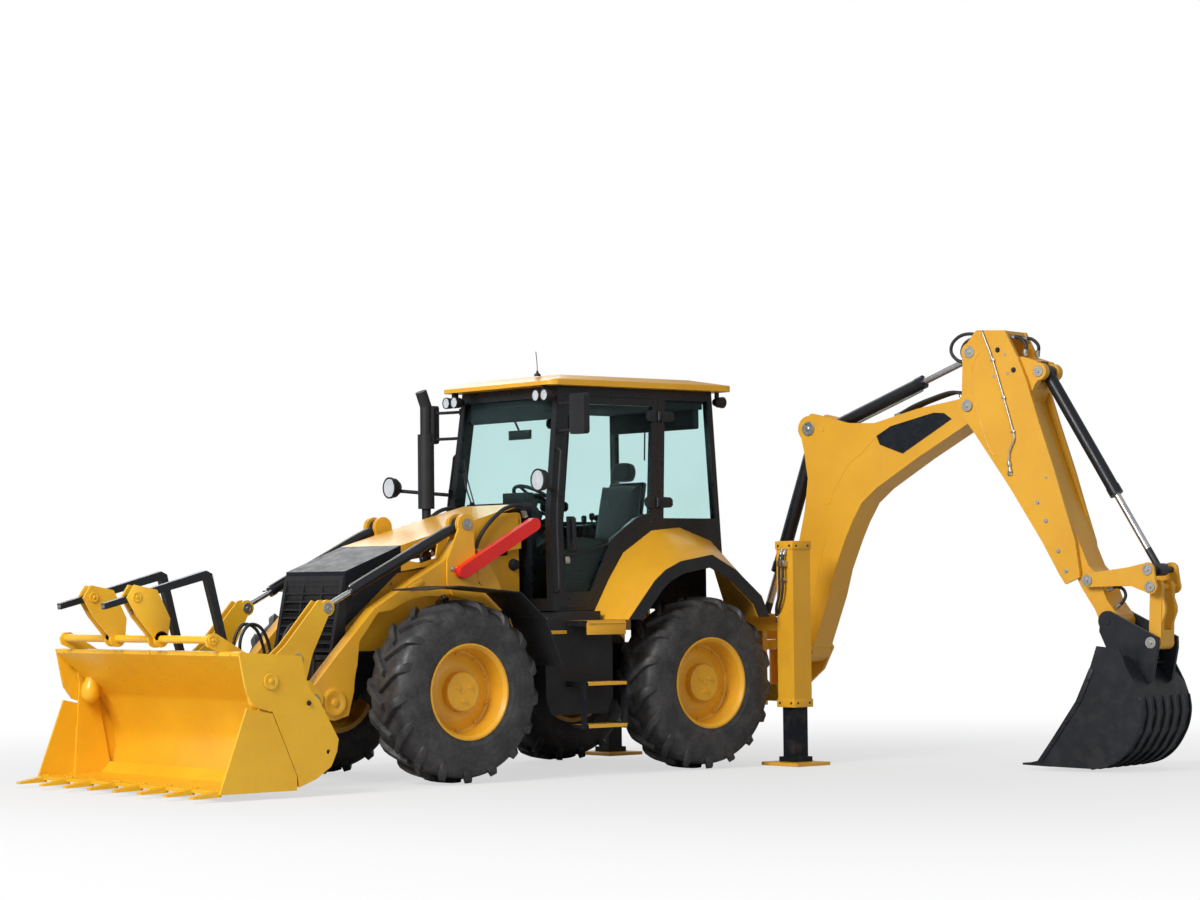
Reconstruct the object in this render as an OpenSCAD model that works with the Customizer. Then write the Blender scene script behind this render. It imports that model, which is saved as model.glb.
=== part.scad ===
// Backhoe loader with four equal steered wheels. In front it carries a clam bucket with a pair
// of folding forks, behind it a side-shifting hoe with an extending stick, on two stabilisers.
// It is laid out from the rear axle, X forwards, Y to the left, Z up from the ground, and then
// moved so that the middle of its box is over the origin.

/* [Wheels and axles] */
// distance between the two axles
wheelbase = 2240; // [2200:10:2300]
// radius of a tyre over its lugs
tyre_r = 640; // [620:5:650]
// width of a tyre
tyre_w = 420; // [400:5:430]
// middle of a tyre from the machine's middle plane
tyre_y = 820; // [815:5:830]
// height of a lug above the tyre's carcass
lug_h = 32; // [25:1:40]
// lugs along one side of a tyre
lug_count = 17; // [14:1:20]
// radius of a rim at its flange
rim_r = 338; // [325:1:345]
// depth of a rim's disc behind its outer flange
rim_dish = 175; // [150:5:185]
// kingpin's axis from the machine's middle plane
kingpin_y = 640; // [630:5:650]
// radius of a kingpin
kingpin_r = 34; // [28:1:40]

/* [Chassis] */
// outer face of a chassis rail from the middle plane
rail_y = 330; // [320:5:340]
// thickness of a chassis rail
rail_t = 60; // [40:5:80]
// underside of the rails
rail_z = 736; // [730:2:760]
// depth of the rails
rail_h = 190; // [170:5:200]

/* [Hood and nose] */
// half the hood's width
hood_y = 374; // [370:1:374]
// front corner of the hood, along X
nose_x = 2842; // [2820:2:2860]
// height of the hood's front corner, where the grille ends
nose_z = 1490; // [1470:5:1510]
// rear end of the dark nose cap, along X
cap_x = 2365; // [2300:5:2420]
// height of the nose cap's rear end
cap_z = 1672; // [1650:2:1690]
// height of the hood's rear end
hood_z = 1975; // [1960:5:1990]

/* [Cab] */
// front face of the cab at its waist, along X
cab_front = 1204; // [1195:1:1215]
// rear face of the cab at its waist, along X
cab_rear = -457; // [-470:1:-445]
// underside of the cab
cab_z = 1190; // [1180:2:1200]
// top of the cab's frame, under the roof
cab_top = 2842; // [2820:2:2850]
// half the cab's width at its underside
cab_y = 655; // [650:1:660]
// lean of the cab's sides, in degrees
cab_lean = 2.4; // [1:0.1:3]
// thickness of the cab's frame
cab_t = 46; // [40:1:55]
// height of the roof's crown
roof_z = 2940; // [2920:5:2960]

/* [Loader] */
// arm pivot, along X
lift_x = 1940; // [1930:1:1950]
// arm pivot, height
lift_z = 1820; // [1810:1:1830]
// bucket hinge, along X
hinge_x = 3254; // [3245:1:3265]
// bucket hinge, height
hinge_z = 610; // [600:1:620]
// inner face of a loader arm from the middle plane
arm_y = 456; // [454:1:460]
// thickness of a loader arm
arm_t = 108; // [100:1:110]
// middle of a lift cylinder from the middle plane
ram_y = 404; // [402:1:405]
// half the bucket's width
bucket_y = 1205; // [1190:5:1215]
// thickness of the bucket's side plates
bucket_t = 18; // [14:1:22]
// number of teeth on the clam's lip
bucket_teeth = 8; // [6:1:10]

/* [Hoe] */
// swing axis, along X
post_x = -1320; // [-1340:5:-1310]
// side shift of the swing axis from the middle plane
post_y = 360; // [0:10:400]
// swing of the boom from straight behind towards the left, in degrees
swing = 78; // [0:1:90]
// half the boom's width
boom_y = 125; // [110:1:130]
// thickness of a plate that straddles the boom or the stick
cheek_t = 30; // [20:1:32]
// half the hoe bucket's width
hoe_y = 381; // [300:1:400]

/* [Stabilisers] */
// middle of a stabiliser from the middle plane
leg_y = 1099; // [1095:1:1105]
// middle of a stabiliser, along X
leg_x = -765; // [-770:1:-760]
// width of a stabiliser's column
column_w = 180; // [170:2:190]
// top of a column
column_top = 1692; // [1600:2:1720]
// underside of a column
column_z = 438; // [420:2:460]
// width of the leg that slides in the column
leg_w = 132; // [120:2:140]
// width of a foot plate
foot_w = 400; // [360:10:420]
// length of a foot plate along the machine
foot_l = 340; // [300:10:344]

/* [Clearances] */
// gap between a pin and its bore
pin_gap = 0.25; // [0.2:0.05:0.5]
// gap between pieces that slide on each other
slide_gap = 0.4; // [0.3:0.05:0.8]
// gap between faces that turn past each other
side_gap = 6; // [5:0.5:6]

/* [Hidden] */
$fn = 64;
hull_fn = 32;
axle_z = tyre_r;
arm_out = arm_y + arm_t;
tilt_y = arm_y + arm_t / 2;
tip_x = 4586;
tine_x = 4738;
hub_y = tyre_y + tyre_w / 2 - 16 - rim_dish + 20;
// the hoe's farthest point from the swing axis, and the frame's middle worked out from it
reach_r = 3367;
side_dir = [sin(swing), cos(swing)];
out_dir = [-cos(swing), sin(swing)];
back_x = post_x + out_dir[0] * reach_r - side_dir[0] * hoe_y;
left_y = post_y + out_dir[1] * reach_r + side_dir[1] * hoe_y;
mid_x = (tine_x + back_x) / 2;
mid_y = (left_y - leg_y - foot_w / 2) / 2;

// pins of the loader, as [x, z]
p_lift = [lift_x, lift_z];
p_hinge = [hinge_x, hinge_z];
p_tilt = [3120, 1237];
p_ram_base = [1750, 520];
p_ram_eye = [2056, 1385];
p_clam = [4016, 770];
p_fork = [4310, 1043];
p_hood = [1300, 1885];
panel_y = 312;
p_tine = [4500, 1329];
p_tube = [3075, 583];
p_wheel = [wheelbase, axle_z];
lift_pin_r = 32;
lever_gap = 32;
fender_in = 450;
fender_out = 1036;
lip_w = 92;
// the doors' hinges
door_hinges = [1990, 2640];
door_slant = 4.19;
door_hinge_x = 241.5;
hinge_out = 16;
hinge_pin_r = 28;

// pins of the hoe, as [distance from the swing axis, z]
h_foot = [265, 870];
h_ram = [-158, 1090];
h_boom = [370, 2573];
h_crowd = [490, 2572];
h_stick = [1840, 2685];
h_crowd_eye = [1862, 3085];
h_curl = [2430, 2914];
h_idler = [2844, 1371];
h_rod = [3334, 1443];
h_power = [3353, 1322];
h_bucket = [2987, 1075];
h_ear = [3335, 920];
hoe_pin_r = 26;

// Profile in X and Z, drawn as a slab from y0 to y1
module slab(y0, y1) {
    translate([0, y1, 0])
        rotate([90, 0, 0])
            linear_extrude(y1 - y0)
                children();
}

// A round bar along Y at [x, z], from y0 to y1
module bar(at, r, y0, y1) {
    translate([at[0], y1, at[1]])
        rotate([90, 0, 0])
            cylinder(r = r, h = y1 - y0);
}

module both_sides() {
    children();
    mirror([0, 1, 0]) children();
}

module disc_at(at, r) {
    translate(at) circle(r = r);
}

// Puts a piece of the machine in the part's frame
module place() {
    translate([-mid_x, -mid_y, 0]) children();
}

// Puts a piece drawn along X behind the swing axis in the part's frame
module place_hoe() {
    translate([post_x - mid_x, post_y - mid_y, 0])
        rotate([0, 0, 180 - swing])
            children();
}

// Turns a piece drawn along X so that it runs from a to b in the X-Z plane
module between(a, b, y = 0) {
    translate([a[0], y, a[1]])
        rotate([0, -atan2(b[1] - a[1], b[0] - a[0]), 0])
            children();
}

// Round bar between two points
module stay(a, b, r) {
    d = b - a;
    translate(a)
        rotate([0, acos(d[2] / norm(d)), atan2(d[1], d[0])])
            cylinder(r = r, h = norm(d));
}

// Cylinder barrel from its eye along X: eye, tube and the bore that its rod slides in
module barrel(length, r, rod_r, eye_r, eye_w, pin_r) {
    difference() {
        union() {
            translate([0, eye_w / 2, 0]) rotate([90, 0, 0]) cylinder(r = eye_r, h = eye_w);
            translate([eye_r * 0.6, 0, 0]) rotate([0, 90, 0]) cylinder(r = r * 0.8, h = eye_r * 0.7);
            translate([eye_r * 1.25, 0, 0]) rotate([0, 90, 0]) cylinder(r = r, h = length - eye_r * 1.25);
            translate([length - r * 1.4, 0, 0]) rotate([0, 90, 0]) cylinder(r = r + 4, h = r * 1.4);
        }
        translate([0, eye_w, 0]) rotate([90, 0, 0]) cylinder(r = pin_r + pin_gap, h = eye_w * 2);
        translate([eye_r * 1.25 + 14, 0, 0]) rotate([0, 90, 0]) cylinder(r = rod_r + slide_gap, h = length);
    }
}

// Rod of a cylinder whose eyes are span apart, drawn from the barrel's eye, with its pin from
// pin_w[0] to pin_w[1]
module rod(span, length, rod_r, eye_r, eye_w, pin_r, pin_w) {
    translate([span - length, 0, 0]) rotate([0, 90, 0]) cylinder(r = rod_r, h = length - eye_r * 0.6);
    translate([span, eye_w / 2, 0]) rotate([90, 0, 0]) cylinder(r = eye_r, h = eye_w);
    bar([span, 0], pin_r, pin_w[0], pin_w[1]);
}

function dist(a, b) = norm([b[0] - a[0], b[1] - a[1]]);

// Wheels

// Stations of a tyre from its middle out to the bead: radius of the carcass, its distance from
// the middle, how far a lug stands out in radius and sideways there, how far round the lug has
// swung by then, in pitches, and how evenly the columns are spread, from 0 to 1
carcass_r = tyre_r - lug_h;
half_w = tyre_w / 2;
STATIONS = [
    [carcass_r, 16, lug_h, 0, 0, 0],
    [carcass_r - 4, half_w - 62, lug_h + 4, 0, 0.55, 0],
    [carcass_r - 50, half_w - 12, 8, 10, 0.72, 0],
    [rim_r + 125, half_w, 0, 0, 0.75, 0.5],
    [(rim_r + 0.35) / cos(45 / lug_count), half_w - 14, 0, 0, 0.75, 1]
];
// a pitch's four columns, as shares of the pitch: foot and top of a lug, top and foot again
COLUMNS = [[0, 0], [0.06, 1], [0.33, 1], [0.4, 0]];

// Point of the tyre's skin at a column and a station, side is 1, or -1 half a pitch further on
function skin(i, station, side) =
    let (
        c = COLUMNS[i % 4],
        share = c[0] + (i % 4 / 4 - c[0]) * station[5],
        turn = (floor(i / 4) + share + station[4] + (side < 0 ? 0.5 : 0)) * 360 / lug_count,
        r = station[0] + c[1] * station[2]
    )
    [r * cos(turn), r * sin(turn), side * (station[1] + c[1] * station[3])];

// A tyre on its own axis Z: columns of points round it, each from bead to bead
module tyre_body() {
    columns = 4 * lug_count;
    last = len(STATIONS) - 1;
    row = 2 * last + 3;
    middle_turn = 90 / lug_count;
    points = [
        for (i = [0 : columns - 1])
            let (turn = (floor(i / 4) + COLUMNS[i % 4][0]) * 360 / lug_count + middle_turn)
            each concat(
                [for (k = [last : -1 : 0]) skin(i, STATIONS[k], -1)],
                [[carcass_r * cos(turn), carcass_r * sin(turn), 0]],
                [for (k = [0 : last]) skin(i, STATIONS[k], 1)]
            )
    ];
    polyhedron(
        points,
        [
            for (i = [0 : columns - 1], k = [0 : row - 1])
                let (a = i * row, b = (i + 1) % columns * row, n = (k + 1) % row)
                each [[a + k, a + n, b + n], [a + k, b + n, b + k]]
        ]
    );
}

// Rim with a dished disc, its outer face towards +Z
module rim_body() {
    half = tyre_w / 2;
    face = half - 16;
    well = rim_r - 42;
    // outer face of the hub's cover
    cover = face - rim_dish + 100;
    rotate_extrude()
        polygon([
            [rim_r, -half + 16], [rim_r, -half + 28], [rim_r - 20, -half + 33.5],
            [rim_r - 20, -60], [well + 4, -40], [well + 4, 20], [rim_r - 20, 50],
            [rim_r - 20, half - 33.5], [rim_r, half - 28], [rim_r, face], [rim_r - 12, face],
            [rim_r - 32, half - 40], [well - 10, 40], [well - 24, face - rim_dish + 14],
            [190, face - rim_dish + 40], [142, face - rim_dish + 40], [136, face - rim_dish + 94],
            [128, cover], [0, cover], [0, face - rim_dish + 20], [190, face - rim_dish + 20],
            [well - 36, face - rim_dish - 6], [well - 12, 0], [well - 12, -46],
            [rim_r - 34, -70], [rim_r - 34, -half + 16]
        ]);
    for (i = [0 : 2])
        rotate(90 + i * 120)
            translate([62, 0, cover - 6]) cylinder(r = 15, h = 20);
}

// Puts a wheel drawn on Z at a corner: front is 1 or 0, side is 1 on the left and -1 on the right
module at_corner(front, side) {
    place()
        translate([front * wheelbase, side * tyre_y, axle_z])
            rotate([-90 * side, 0, 0])
                children();
}

module tyre(front, side) {
    color([0.06, 0.06, 0.065])
        at_corner(front, side)
            mirror([0, side > 0 ? 1 : 0, 0])
                tyre_body();
}

module rim(front, side) {
    color([0.9, 0.66, 0.13]) at_corner(front, side) rim_body();
}

// Steered hub carrier: kingpin between the axle's ears, and the hub that the rim is bolted to
module knuckle(front, side) {
    color([0.16, 0.16, 0.17])
        place()
            translate([front * wheelbase, 0, axle_z])
                mirror([0, side < 0 ? 1 : 0, 0]) {
                    translate([0, kingpin_y, -145]) cylinder(r = kingpin_r, h = 290);
                    translate([0, kingpin_y, -86]) cylinder(r = 62, h = 172);
                    bar([0, 0], 84, kingpin_y, hub_y - 0.3);
                    bar([0, 0], 130, hub_y - 40, hub_y - 0.3);
                }
}

// Chassis

module frame() {
    color([0.1, 0.1, 0.11])
        place() {
            both_sides()
                slab(rail_y - rail_t, rail_y)
                    polygon([
                        [-700, rail_z], [1640, rail_z], [1700, 470], [1800, 470], [1840, rail_z],
                        [2560, rail_z], [2760, 560], [2960, 560], [2980, 864], [2830, 864],
                        [2790, rail_z + rail_h], [-700, rail_z + rail_h]
                    ]);
            for (x = [-700, 330, 1100, 1560])
                translate([x, -rail_y + rail_t - 1, rail_z + 20])
                    cube([60, 2 * (rail_y - rail_t) + 2, rail_h - 40]);
            translate([2880, -rail_y, 560]) cube([70, 2 * rail_y, 300]);
            translate([420, -rail_y + 60, 470]) cube([1260, 2 * rail_y - 120, 270]);
            // mounts of the cab
            both_sides()
                for (x = [-360, 1050])
                    translate([x, rail_y - rail_t / 2, rail_z + rail_h - 1])
                        cylinder(r = 28, h = cab_z - 0.3 - rail_z - rail_h + 1);
        }
}

// Outer cheek of a tower, outside the loader arm and clear of the steered wheel
module outer_cheek() {
    polygon([
        [1880, 1830], [1870, 1640], [1840, 1400], [1600, 1190], [1450, 1010], [1450, 780], [1550, 780],
        [1560, 920], [1640, 1060], [1760, 1180], [1900, 1270], [2060, 1310], [2115, 1400], [2115, 1560],
        [2008, 1790]
    ]);
    disc_at(p_lift, 75);
}

// Inner cheek, between the arm and the hood, above the lift cylinder
module inner_cheek() {
    polygon([[1866, 1810], [1790, 1640], [1640, 1400], [1640, 1330], [1860, 1330], [1960, 1420], [2005, 1790]]);
    disc_at(p_lift, 75);
}

// Towers that carry the arms, with the pins of the lift cylinders, the engine's side panels and
// the hood's hinges
module front_frame() {
    color([0.93, 0.68, 0.13])
        place()
            both_sides() {
                slab(arm_out + 6, arm_out + 26) outer_cheek();
                slab(ram_y + 31, arm_y - 6) inner_cheek();
                // box behind the arm, and the outrigger that it stands on
                slab(arm_y - 7, arm_out + 7)
                    polygon([
                        [1640, 1400], [1790, 1640], [1830, 1640], [1830, 1420], [1620, 1160], [1550, 1000],
                        [1550, 780], [1450, 780], [1450, 1010], [1560, 1180]
                    ]);
                translate([1450, rail_y + 0.3, 780]) cube([100, arm_out - rail_y, 130]);
                bar(p_lift, lift_pin_r, ram_y + 31, arm_out + 32);
                bar(p_ram_base, 26, rail_y + 0.3, ram_y + 34);
                bar(p_ram_base, 50, rail_y + 0.3, ram_y - 33);
                slab(panel_y, panel_y + 16) side_panel();
                bar(p_hood, 12, panel_y, hood_y - 1);
            }
}

// Fixed side panel of the engine bay, with a post that carries the hood's hinge
module side_panel() {
    z = rail_z + rail_h + 0.3;
    polygon([
        [2788, z], [2840, 930], [2840, 1096], [2382, 1474], [1370, 1600], [1330, 1915], [1272, 1915],
        [1260, z]
    ]);
}

module engine() {
    half = rail_y - rail_t / 2;
    color([0.35, 0.36, 0.37])
        place() translate([1300, -half, rail_z + rail_h + 0.3]) cube([950, 2 * half, 560]);
}

module axles() {
    color([0.13, 0.13, 0.14])
        place()
            for (x = [0, wheelbase])
                translate([x, 0, axle_z]) {
                    bar([0, 0], 84, -560, 560);
                    sphere(r = 165);
                    both_sides() {
                        difference() {
                            translate([-70, 520, -148]) cube([140, kingpin_y + 58 - 520, 296]);
                            translate([-80, 566, -92]) cube([160, 200, 184]);
                            translate([0, kingpin_y, -160]) cylinder(r = kingpin_r + pin_gap, h = 320);
                        }
                        translate([-90, rail_y - rail_t, 60]) cube([180, rail_t, 35.7]);
                    }
                }
}

module grille_front(back) {
    polygon([[2971 - back, 870], [nose_x + 14 - back, nose_z - 30], [2845.3, nose_z - 30], [2845.3, 870]]);
}

module grille() {
    color([0.09, 0.09, 0.1])
        place() {
            difference() {
                slab(-hood_y + 4, hood_y - 4) grille_front(0);
                slab(-hood_y + 40, hood_y - 40)
                    polygon([[3000, 906], [3000, nose_z - 66], [2860, nose_z - 66], [2860, 906]]);
            }
            intersection() {
                slab(-hood_y + 39, hood_y - 39) grille_front(5);
                union() {
                    for (i = [0 : 8])
                        translate([2950 - i * 11.9, 0, 926 + i * 58])
                            slab(-hood_y, hood_y)
                                polygon([[20, -5], [-60, 20], [-60, 28], [20, 3]]);
                    for (y = [-120, 120])
                        translate([2800, y - 6, 870]) cube([200, 12, 600]);
                    translate([2850, -hood_y, 870]) cube([10, 2 * hood_y, 600]);
                }
            }
        }
}

// Hood: a shell with a sloping nose, open below and at its sides
module hood() {
    color([0.93, 0.68, 0.13])
        place() {
            difference() {
                intersection() {
                    slab(-hood_y, hood_y)
                        polygon([
                            [2845, 1102], [2845, nose_z], [cap_x, cap_z], [1278, hood_z], [1278, 1648],
                            [2388, 1482]
                        ]);
                    through_x(1200, 2900)
                        polygon([
                            [-hood_y, 1000], [hood_y, 1000], [hood_y, 1880], [hood_y - 60, 2010],
                            [-hood_y + 60, 2010], [-hood_y, 1880]
                        ]);
                }
                slab(-hood_y + 14, hood_y - 14)
                    polygon([
                        [2833, 1000], [2833, nose_z - 20], [cap_x, cap_z - 18], [1270, hood_z - 17], [1270, 1000]
                    ]);
                // openings in the sides
                slab(-hood_y - 1, hood_y + 1)
                    polygon([[2290, 1640], [2290, 1560], [2180, 1545], [2060, 1580], [2030, 1740]]);
                bar(p_hood, 12 + pin_gap, -hood_y - 1, hood_y + 1);
            }
        }
}

module exhaust() {
    color([0.08, 0.08, 0.09])
        place()
            translate([1500, -500, 0]) {
                translate([0, 0, 1490]) cylinder(r = 34, h = 490);
                translate([0, 0, 1960]) cylinder(r = 62, h = 560);
                translate([0, 0, 2500]) cylinder(r = 42, h = 240);
                translate([-6, 0, 2722]) rotate([0, 22, 0]) cylinder(r = 44, h = 130);
                translate([-30, 0, 1500]) cube([60, 500 - panel_y - 16.3, 40]);
            }
}

module side_tanks() {
    color([0.09, 0.09, 0.1])
        place()
            both_sides() {
                difference() {
                    slab(rail_y + 20, 800)
                        polygon([
                            [770, 560], [820, 440], [1350, 440], [1395, 560], [1405, 1120],
                            [1180, 1186], [880, 1186], [880, 1110], [770, 1110]
                        ]);
                    translate([700, 0, 1060]) cube([1000, 400, 200]);
                }
                translate([900, rail_y, 760]) cube([300, 21, 120]);
            }
}

module steps() {
    color([0.9, 0.66, 0.13])
        place()
            both_sides() {
                for (z = [372, 676])
                    translate([840, 830, z - 22])
                        difference() {
                            cube([360, 210, 22]);
                            for (x = [30 : 60 : 330], y = [40, 105, 170])
                                translate([x, y, -1]) cylinder(r = 17, h = 30, $fn = 12);
                        }
                // straps from tread to tread, and the brackets of the upper one
                for (x = [828, 1200]) {
                    translate([x, 970, 340]) cube([12, 60, 346]);
                    translate([x, 800.3, 640]) cube([12, 200, 40]);
                }
                // deck below the door
                translate([840, 800.3, 1080]) cube([360, 232, 40]);
            }
}

// Cab: side and front outlines, both offset to make its walls

module cab_side(inset) {
    offset(delta = -inset)
        polygon([
            [cab_front + 6, cab_z], [cab_front, 1900], [1090, cab_top], [-410, cab_top],
            [cab_rear, 1590], [cab_rear, cab_z]
        ]);
}

module cab_front_face(inset) {
    lean = (cab_top - cab_z) * tan(cab_lean);
    offset(delta = -inset)
        polygon([
            [-cab_y, cab_z], [cab_y, cab_z], [cab_y - lean, cab_top], [-cab_y + lean, cab_top]
        ]);
}

// Cab as a solid, let in over the rear fenders
module cab_body(inset) {
    difference() {
        intersection() {
            slab(-cab_y - 10, cab_y + 10) cab_side(inset);
            through_x(-900, 1700) cab_front_face(inset);
        }
        both_sides() slab(fender_in - slide_gap - inset, 900) fender_side(-slide_gap - inset);
    }
}

// Half the cab's width at a height
function cab_half(z) = cab_y - (z - cab_z) * tan(cab_lean);

module door_outline(grow) {
    offset(delta = grow)
        polygon([
            [1148, cab_z + 16], [1148, 1880], [1042, 2770], [128, 2770], [196, 1850],
            [340, 1826], [590, 1680], [868, cab_z + 16]
        ]);
}

module door_window(grow) {
    offset(delta = grow)
        polygon([
            [1090, 1330], [1090, 1880], [990, 2712], [188, 2712], [250, 1908], [390, 1870], [636, 1710],
            [850, 1330]
        ]);
}

module side_window(grow) {
    offset(delta = grow) polygon([[60, 2765], [118, 1872], [-404, 1872], [-368, 2765]]);
}

module windscreen(grow) {
    offset(delta = grow)
        polygon([
            [-536, 2760], [536, 2760], [582, 1280], [400, 1280], [400, 1990], [-400, 1990],
            [-400, 1280], [-582, 1280]
        ]);
}

module rear_screen(grow) {
    offset(delta = grow) polygon([[-530, 2750], [530, 2750], [566, 1860], [-566, 1860]]);
}

module through_x(x0, x1) {
    translate([x0, 0, 0]) rotate([90, 0, 90]) linear_extrude(x1 - x0) children();
}

// Puts a hinge of the left door at height z on the line of the door's rear edge
module at_door_hinge(z) {
    translate([door_hinge_x - (z - cab_z) * tan(door_slant), cab_half(z) + hinge_out, z])
        rotate([cab_lean, -door_slant, 0])
            children();
}

// Puts a piece at x and height z on the outside of the cab's left wall
module on_cab_side(x, z) {
    translate([x, cab_half(z) + 0.3, z]) rotate([cab_lean, 0, 0]) children();
}

module cab_frame() {
    color([0.07, 0.07, 0.08])
        place() {
            difference() {
                cab_body(0);
                cab_body(cab_t);
                both_sides() slab(cab_half(cab_top) - cab_t - 10, 900) door_outline(0);
                slab(-900, 900) side_window(0);
                through_x(900, 1400) windscreen(0);
                through_x(-600, -330) rear_screen(0);
            }
            // hinge pins and their lugs on the door pillars
            both_sides()
                for (z = door_hinges)
                    at_door_hinge(z) {
                        translate([0, 0, -34]) cylinder(r = 8, h = 68);
                        for (h = [-34, 20])
                            translate([0, 0, h]) {
                                cylinder(r = 15, h = 14);
                                translate([-50, -hinge_out - 1, 0]) cube([50, hinge_out - 3, 14]);
                            }
                    }
        }
}

module roof_outline() {
    hull() {
        for (x = [-480, 1150], y = [-1, 1])
            translate([x, y * 600]) circle(r = 82, $fn = hull_fn);
    }
}

module roof() {
    color([0.93, 0.68, 0.13])
        place()
            intersection() {
                translate([0, 0, cab_top + 0.3]) linear_extrude(200) roof_outline();
                slab(-700, 700)
                    polygon([
                        [-570, cab_top], [-570, 2880], [-200, 2925], [500, roof_z], [1000, roof_z - 6],
                        [1240, 2870], [1240, cab_top]
                    ]);
                through_x(-600, 1300)
                    polygon([
                        [-690, cab_top], [-690, 2882], [-560, 2925], [-200, roof_z], [200, roof_z],
                        [560, 2925], [690, 2882], [690, cab_top]
                    ]);
            }
}

// The cab's left wall from t0 to t1 under its surface
module wall_strip(t0, t1) {
    low = cab_half(cab_z);
    top = cab_half(cab_top);
    through_x(0, 1300)
        polygon([[low - t1, cab_z], [low - t0, cab_z], [top - t0, cab_top], [top - t1, cab_top]]);
}

// Panes as thick as 6 mm, midway in the walls
module pane_shell() {
    difference() {
        cab_body(16);
        cab_body(22);
    }
}

module cab_glass() {
    color([0.75, 0.88, 0.88, 0.4])
        place()
            intersection() {
                pane_shell();
                union() {
                    slab(-900, 900) side_window(-0.2);
                    through_x(900, 1400) windscreen(-0.2);
                    through_x(-600, -330) rear_screen(-0.2);
                }
            }
}

module door(side) {
    color([0.07, 0.07, 0.08])
        place()
            mirror([0, side < 0 ? 1 : 0, 0]) {
                intersection() {
                    wall_strip(0, cab_t - 6);
                    slab(300, 900)
                        difference() {
                            door_outline(-side_gap);
                            door_window(0);
                        }
                }
                for (z = door_hinges)
                    at_door_hinge(z)
                        difference() {
                            union() {
                                translate([0, 0, -19.7]) cylinder(r = 15, h = 39.4);
                                translate([8, -hinge_out - 1, -19.7]) cube([52, hinge_out - 3, 39.4]);
                            }
                            translate([0, 0, -30]) cylinder(r = 8 + pin_gap, h = 60);
                        }
            }
}

module door_glass(side) {
    color([0.75, 0.88, 0.88, 0.4])
        place()
            mirror([0, side < 0 ? 1 : 0, 0])
                intersection() {
                    wall_strip(16, 22);
                    slab(300, 900) door_window(-0.2);
                }
}

module cab_seat() {
    floor_z = cab_z + cab_t + 0.3;
    color([0.2, 0.2, 0.21])
        place() {
            translate([100, -150, floor_z]) cube([380, 300, 1450.8 - floor_z]);
            translate([60, -235, 1450.8]) cube([480, 470, 110]);
            translate([20, -220, 1500]) rotate([0, -10, 0]) cube([110, 440, 640]);
            both_sides() {
                translate([80, 245, 1640]) cube([330, 55, 45]);
                translate([60, 215, 1560]) cube([60, 40, 125]);
            }
        }
}

module console() {
    floor_z = cab_z + cab_t + 0.3;
    color([0.13, 0.13, 0.14])
        place() {
            slab(-190, 190)
                polygon([[960, floor_z], [1100, floor_z], [1100, 1900], [1000, 1980], [930, 1900], [1000, 1700]]);
            translate([940, 0, 1880])
                rotate([0, -35, 0]) {
                    cylinder(r = 28, h = 170);
                    translate([0, 0, 165])
                        rotate_extrude() translate([185, 0]) circle(r = 14);
                    for (i = [0 : 2])
                        rotate(i * 120) translate([0, -12, 155]) cube([186, 24, 14]);
                }
            both_sides()
                translate([-150, 314, floor_z]) {
                    cube([300, 66, 520]);
                    translate([120, 33, 510]) cylinder(r = 10, h = 150);
                    translate([120, 33, 660]) sphere(r = 26);
                }
        }
}

// Fenders over the rear wheels: shells that fall away towards the outside
module fender_side(inset) {
    offset(delta = -inset)
        polygon([
            [862, 1122], [675, 1415], [527, 1612], [243, 1778], [-15, 1800], [-322, 1702], [-545, 1512],
            [-648, 1250], [-656, 1000], [862, 1000]
        ]);
}

// Fender as a solid: straight beside the cab, then drawn down to a lower arch outside
module fender_body(inset) {
    hull() {
        slab(fender_in, cab_y) fender_side(inset);
        slab(fender_out - inset - 2, fender_out - inset) arch_outline(inset);
    }
}

// Outer edge of a fender, where its black lip begins
module arch_outline(inset) {
    offset(delta = -inset)
        polygon([
            [816, 1122], [563, 1402], [458, 1481], [309, 1544], [10, 1591], [-226, 1477],
            [-481, 1280], [-560, 1122], [-560, 1000], [816, 1000]
        ]);
}

module rear_fenders() {
    color([0.93, 0.68, 0.13])
        place()
            both_sides()
                difference() {
                    fender_body(0);
                    fender_body(22);
                    slab(fender_out - 50, fender_out + 50) arch_outline(lip_w - 8);
                    translate([-1000, 400, 800]) cube([2000, 800, 322]);
                    slab(fender_in - 1, fender_in + 1) fender_side(22);
                }
}

// Black lips of the rear arches and the strips over the front wheels
module wheel_arches() {
    color([0.06, 0.06, 0.065])
        place()
            both_sides() {
                slab(fender_out + 0.3, fender_out + 16)
                    difference() {
                        arch_outline(0);
                        arch_outline(lip_w);
                        translate([-700, 900]) square([1600, 222]);
                    }
                front_strip();
            }
}

module front_strip() {
    slab(620, 1030)
        polygon([
            [2620, 1350], [2325, 1372], [1800, 1326], [1580, 1140], [1430, 800],
            [1420, 806], [1572, 1146], [1796, 1334], [2325, 1381], [2620, 1359]
        ]);
    slab(arm_out + 26.3, 620.3) polygon([[1560, 1060], [1610, 1060], [1680, 1150], [1640, 1200], [1600, 1180]]);
}

// Lamps, [x, y, z, facing in degrees from forwards, radius]
LAMPS = [
    [1150, 500, 2768, 0, 44], [1150, 600, 2768, 0, 44],
    [-500, 520, 2768, 180, 44], [1462, 915, 2130, 0, 82]
];

// Half of a lamp's section, from its back to its rim
module lamp_section(r) {
    polygon([[0, 0], [r * 0.6, 0], [r * 0.9, 34], [r * 0.96, 68], [r, 72], [r, 82], [0, 82]]);
}

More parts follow.
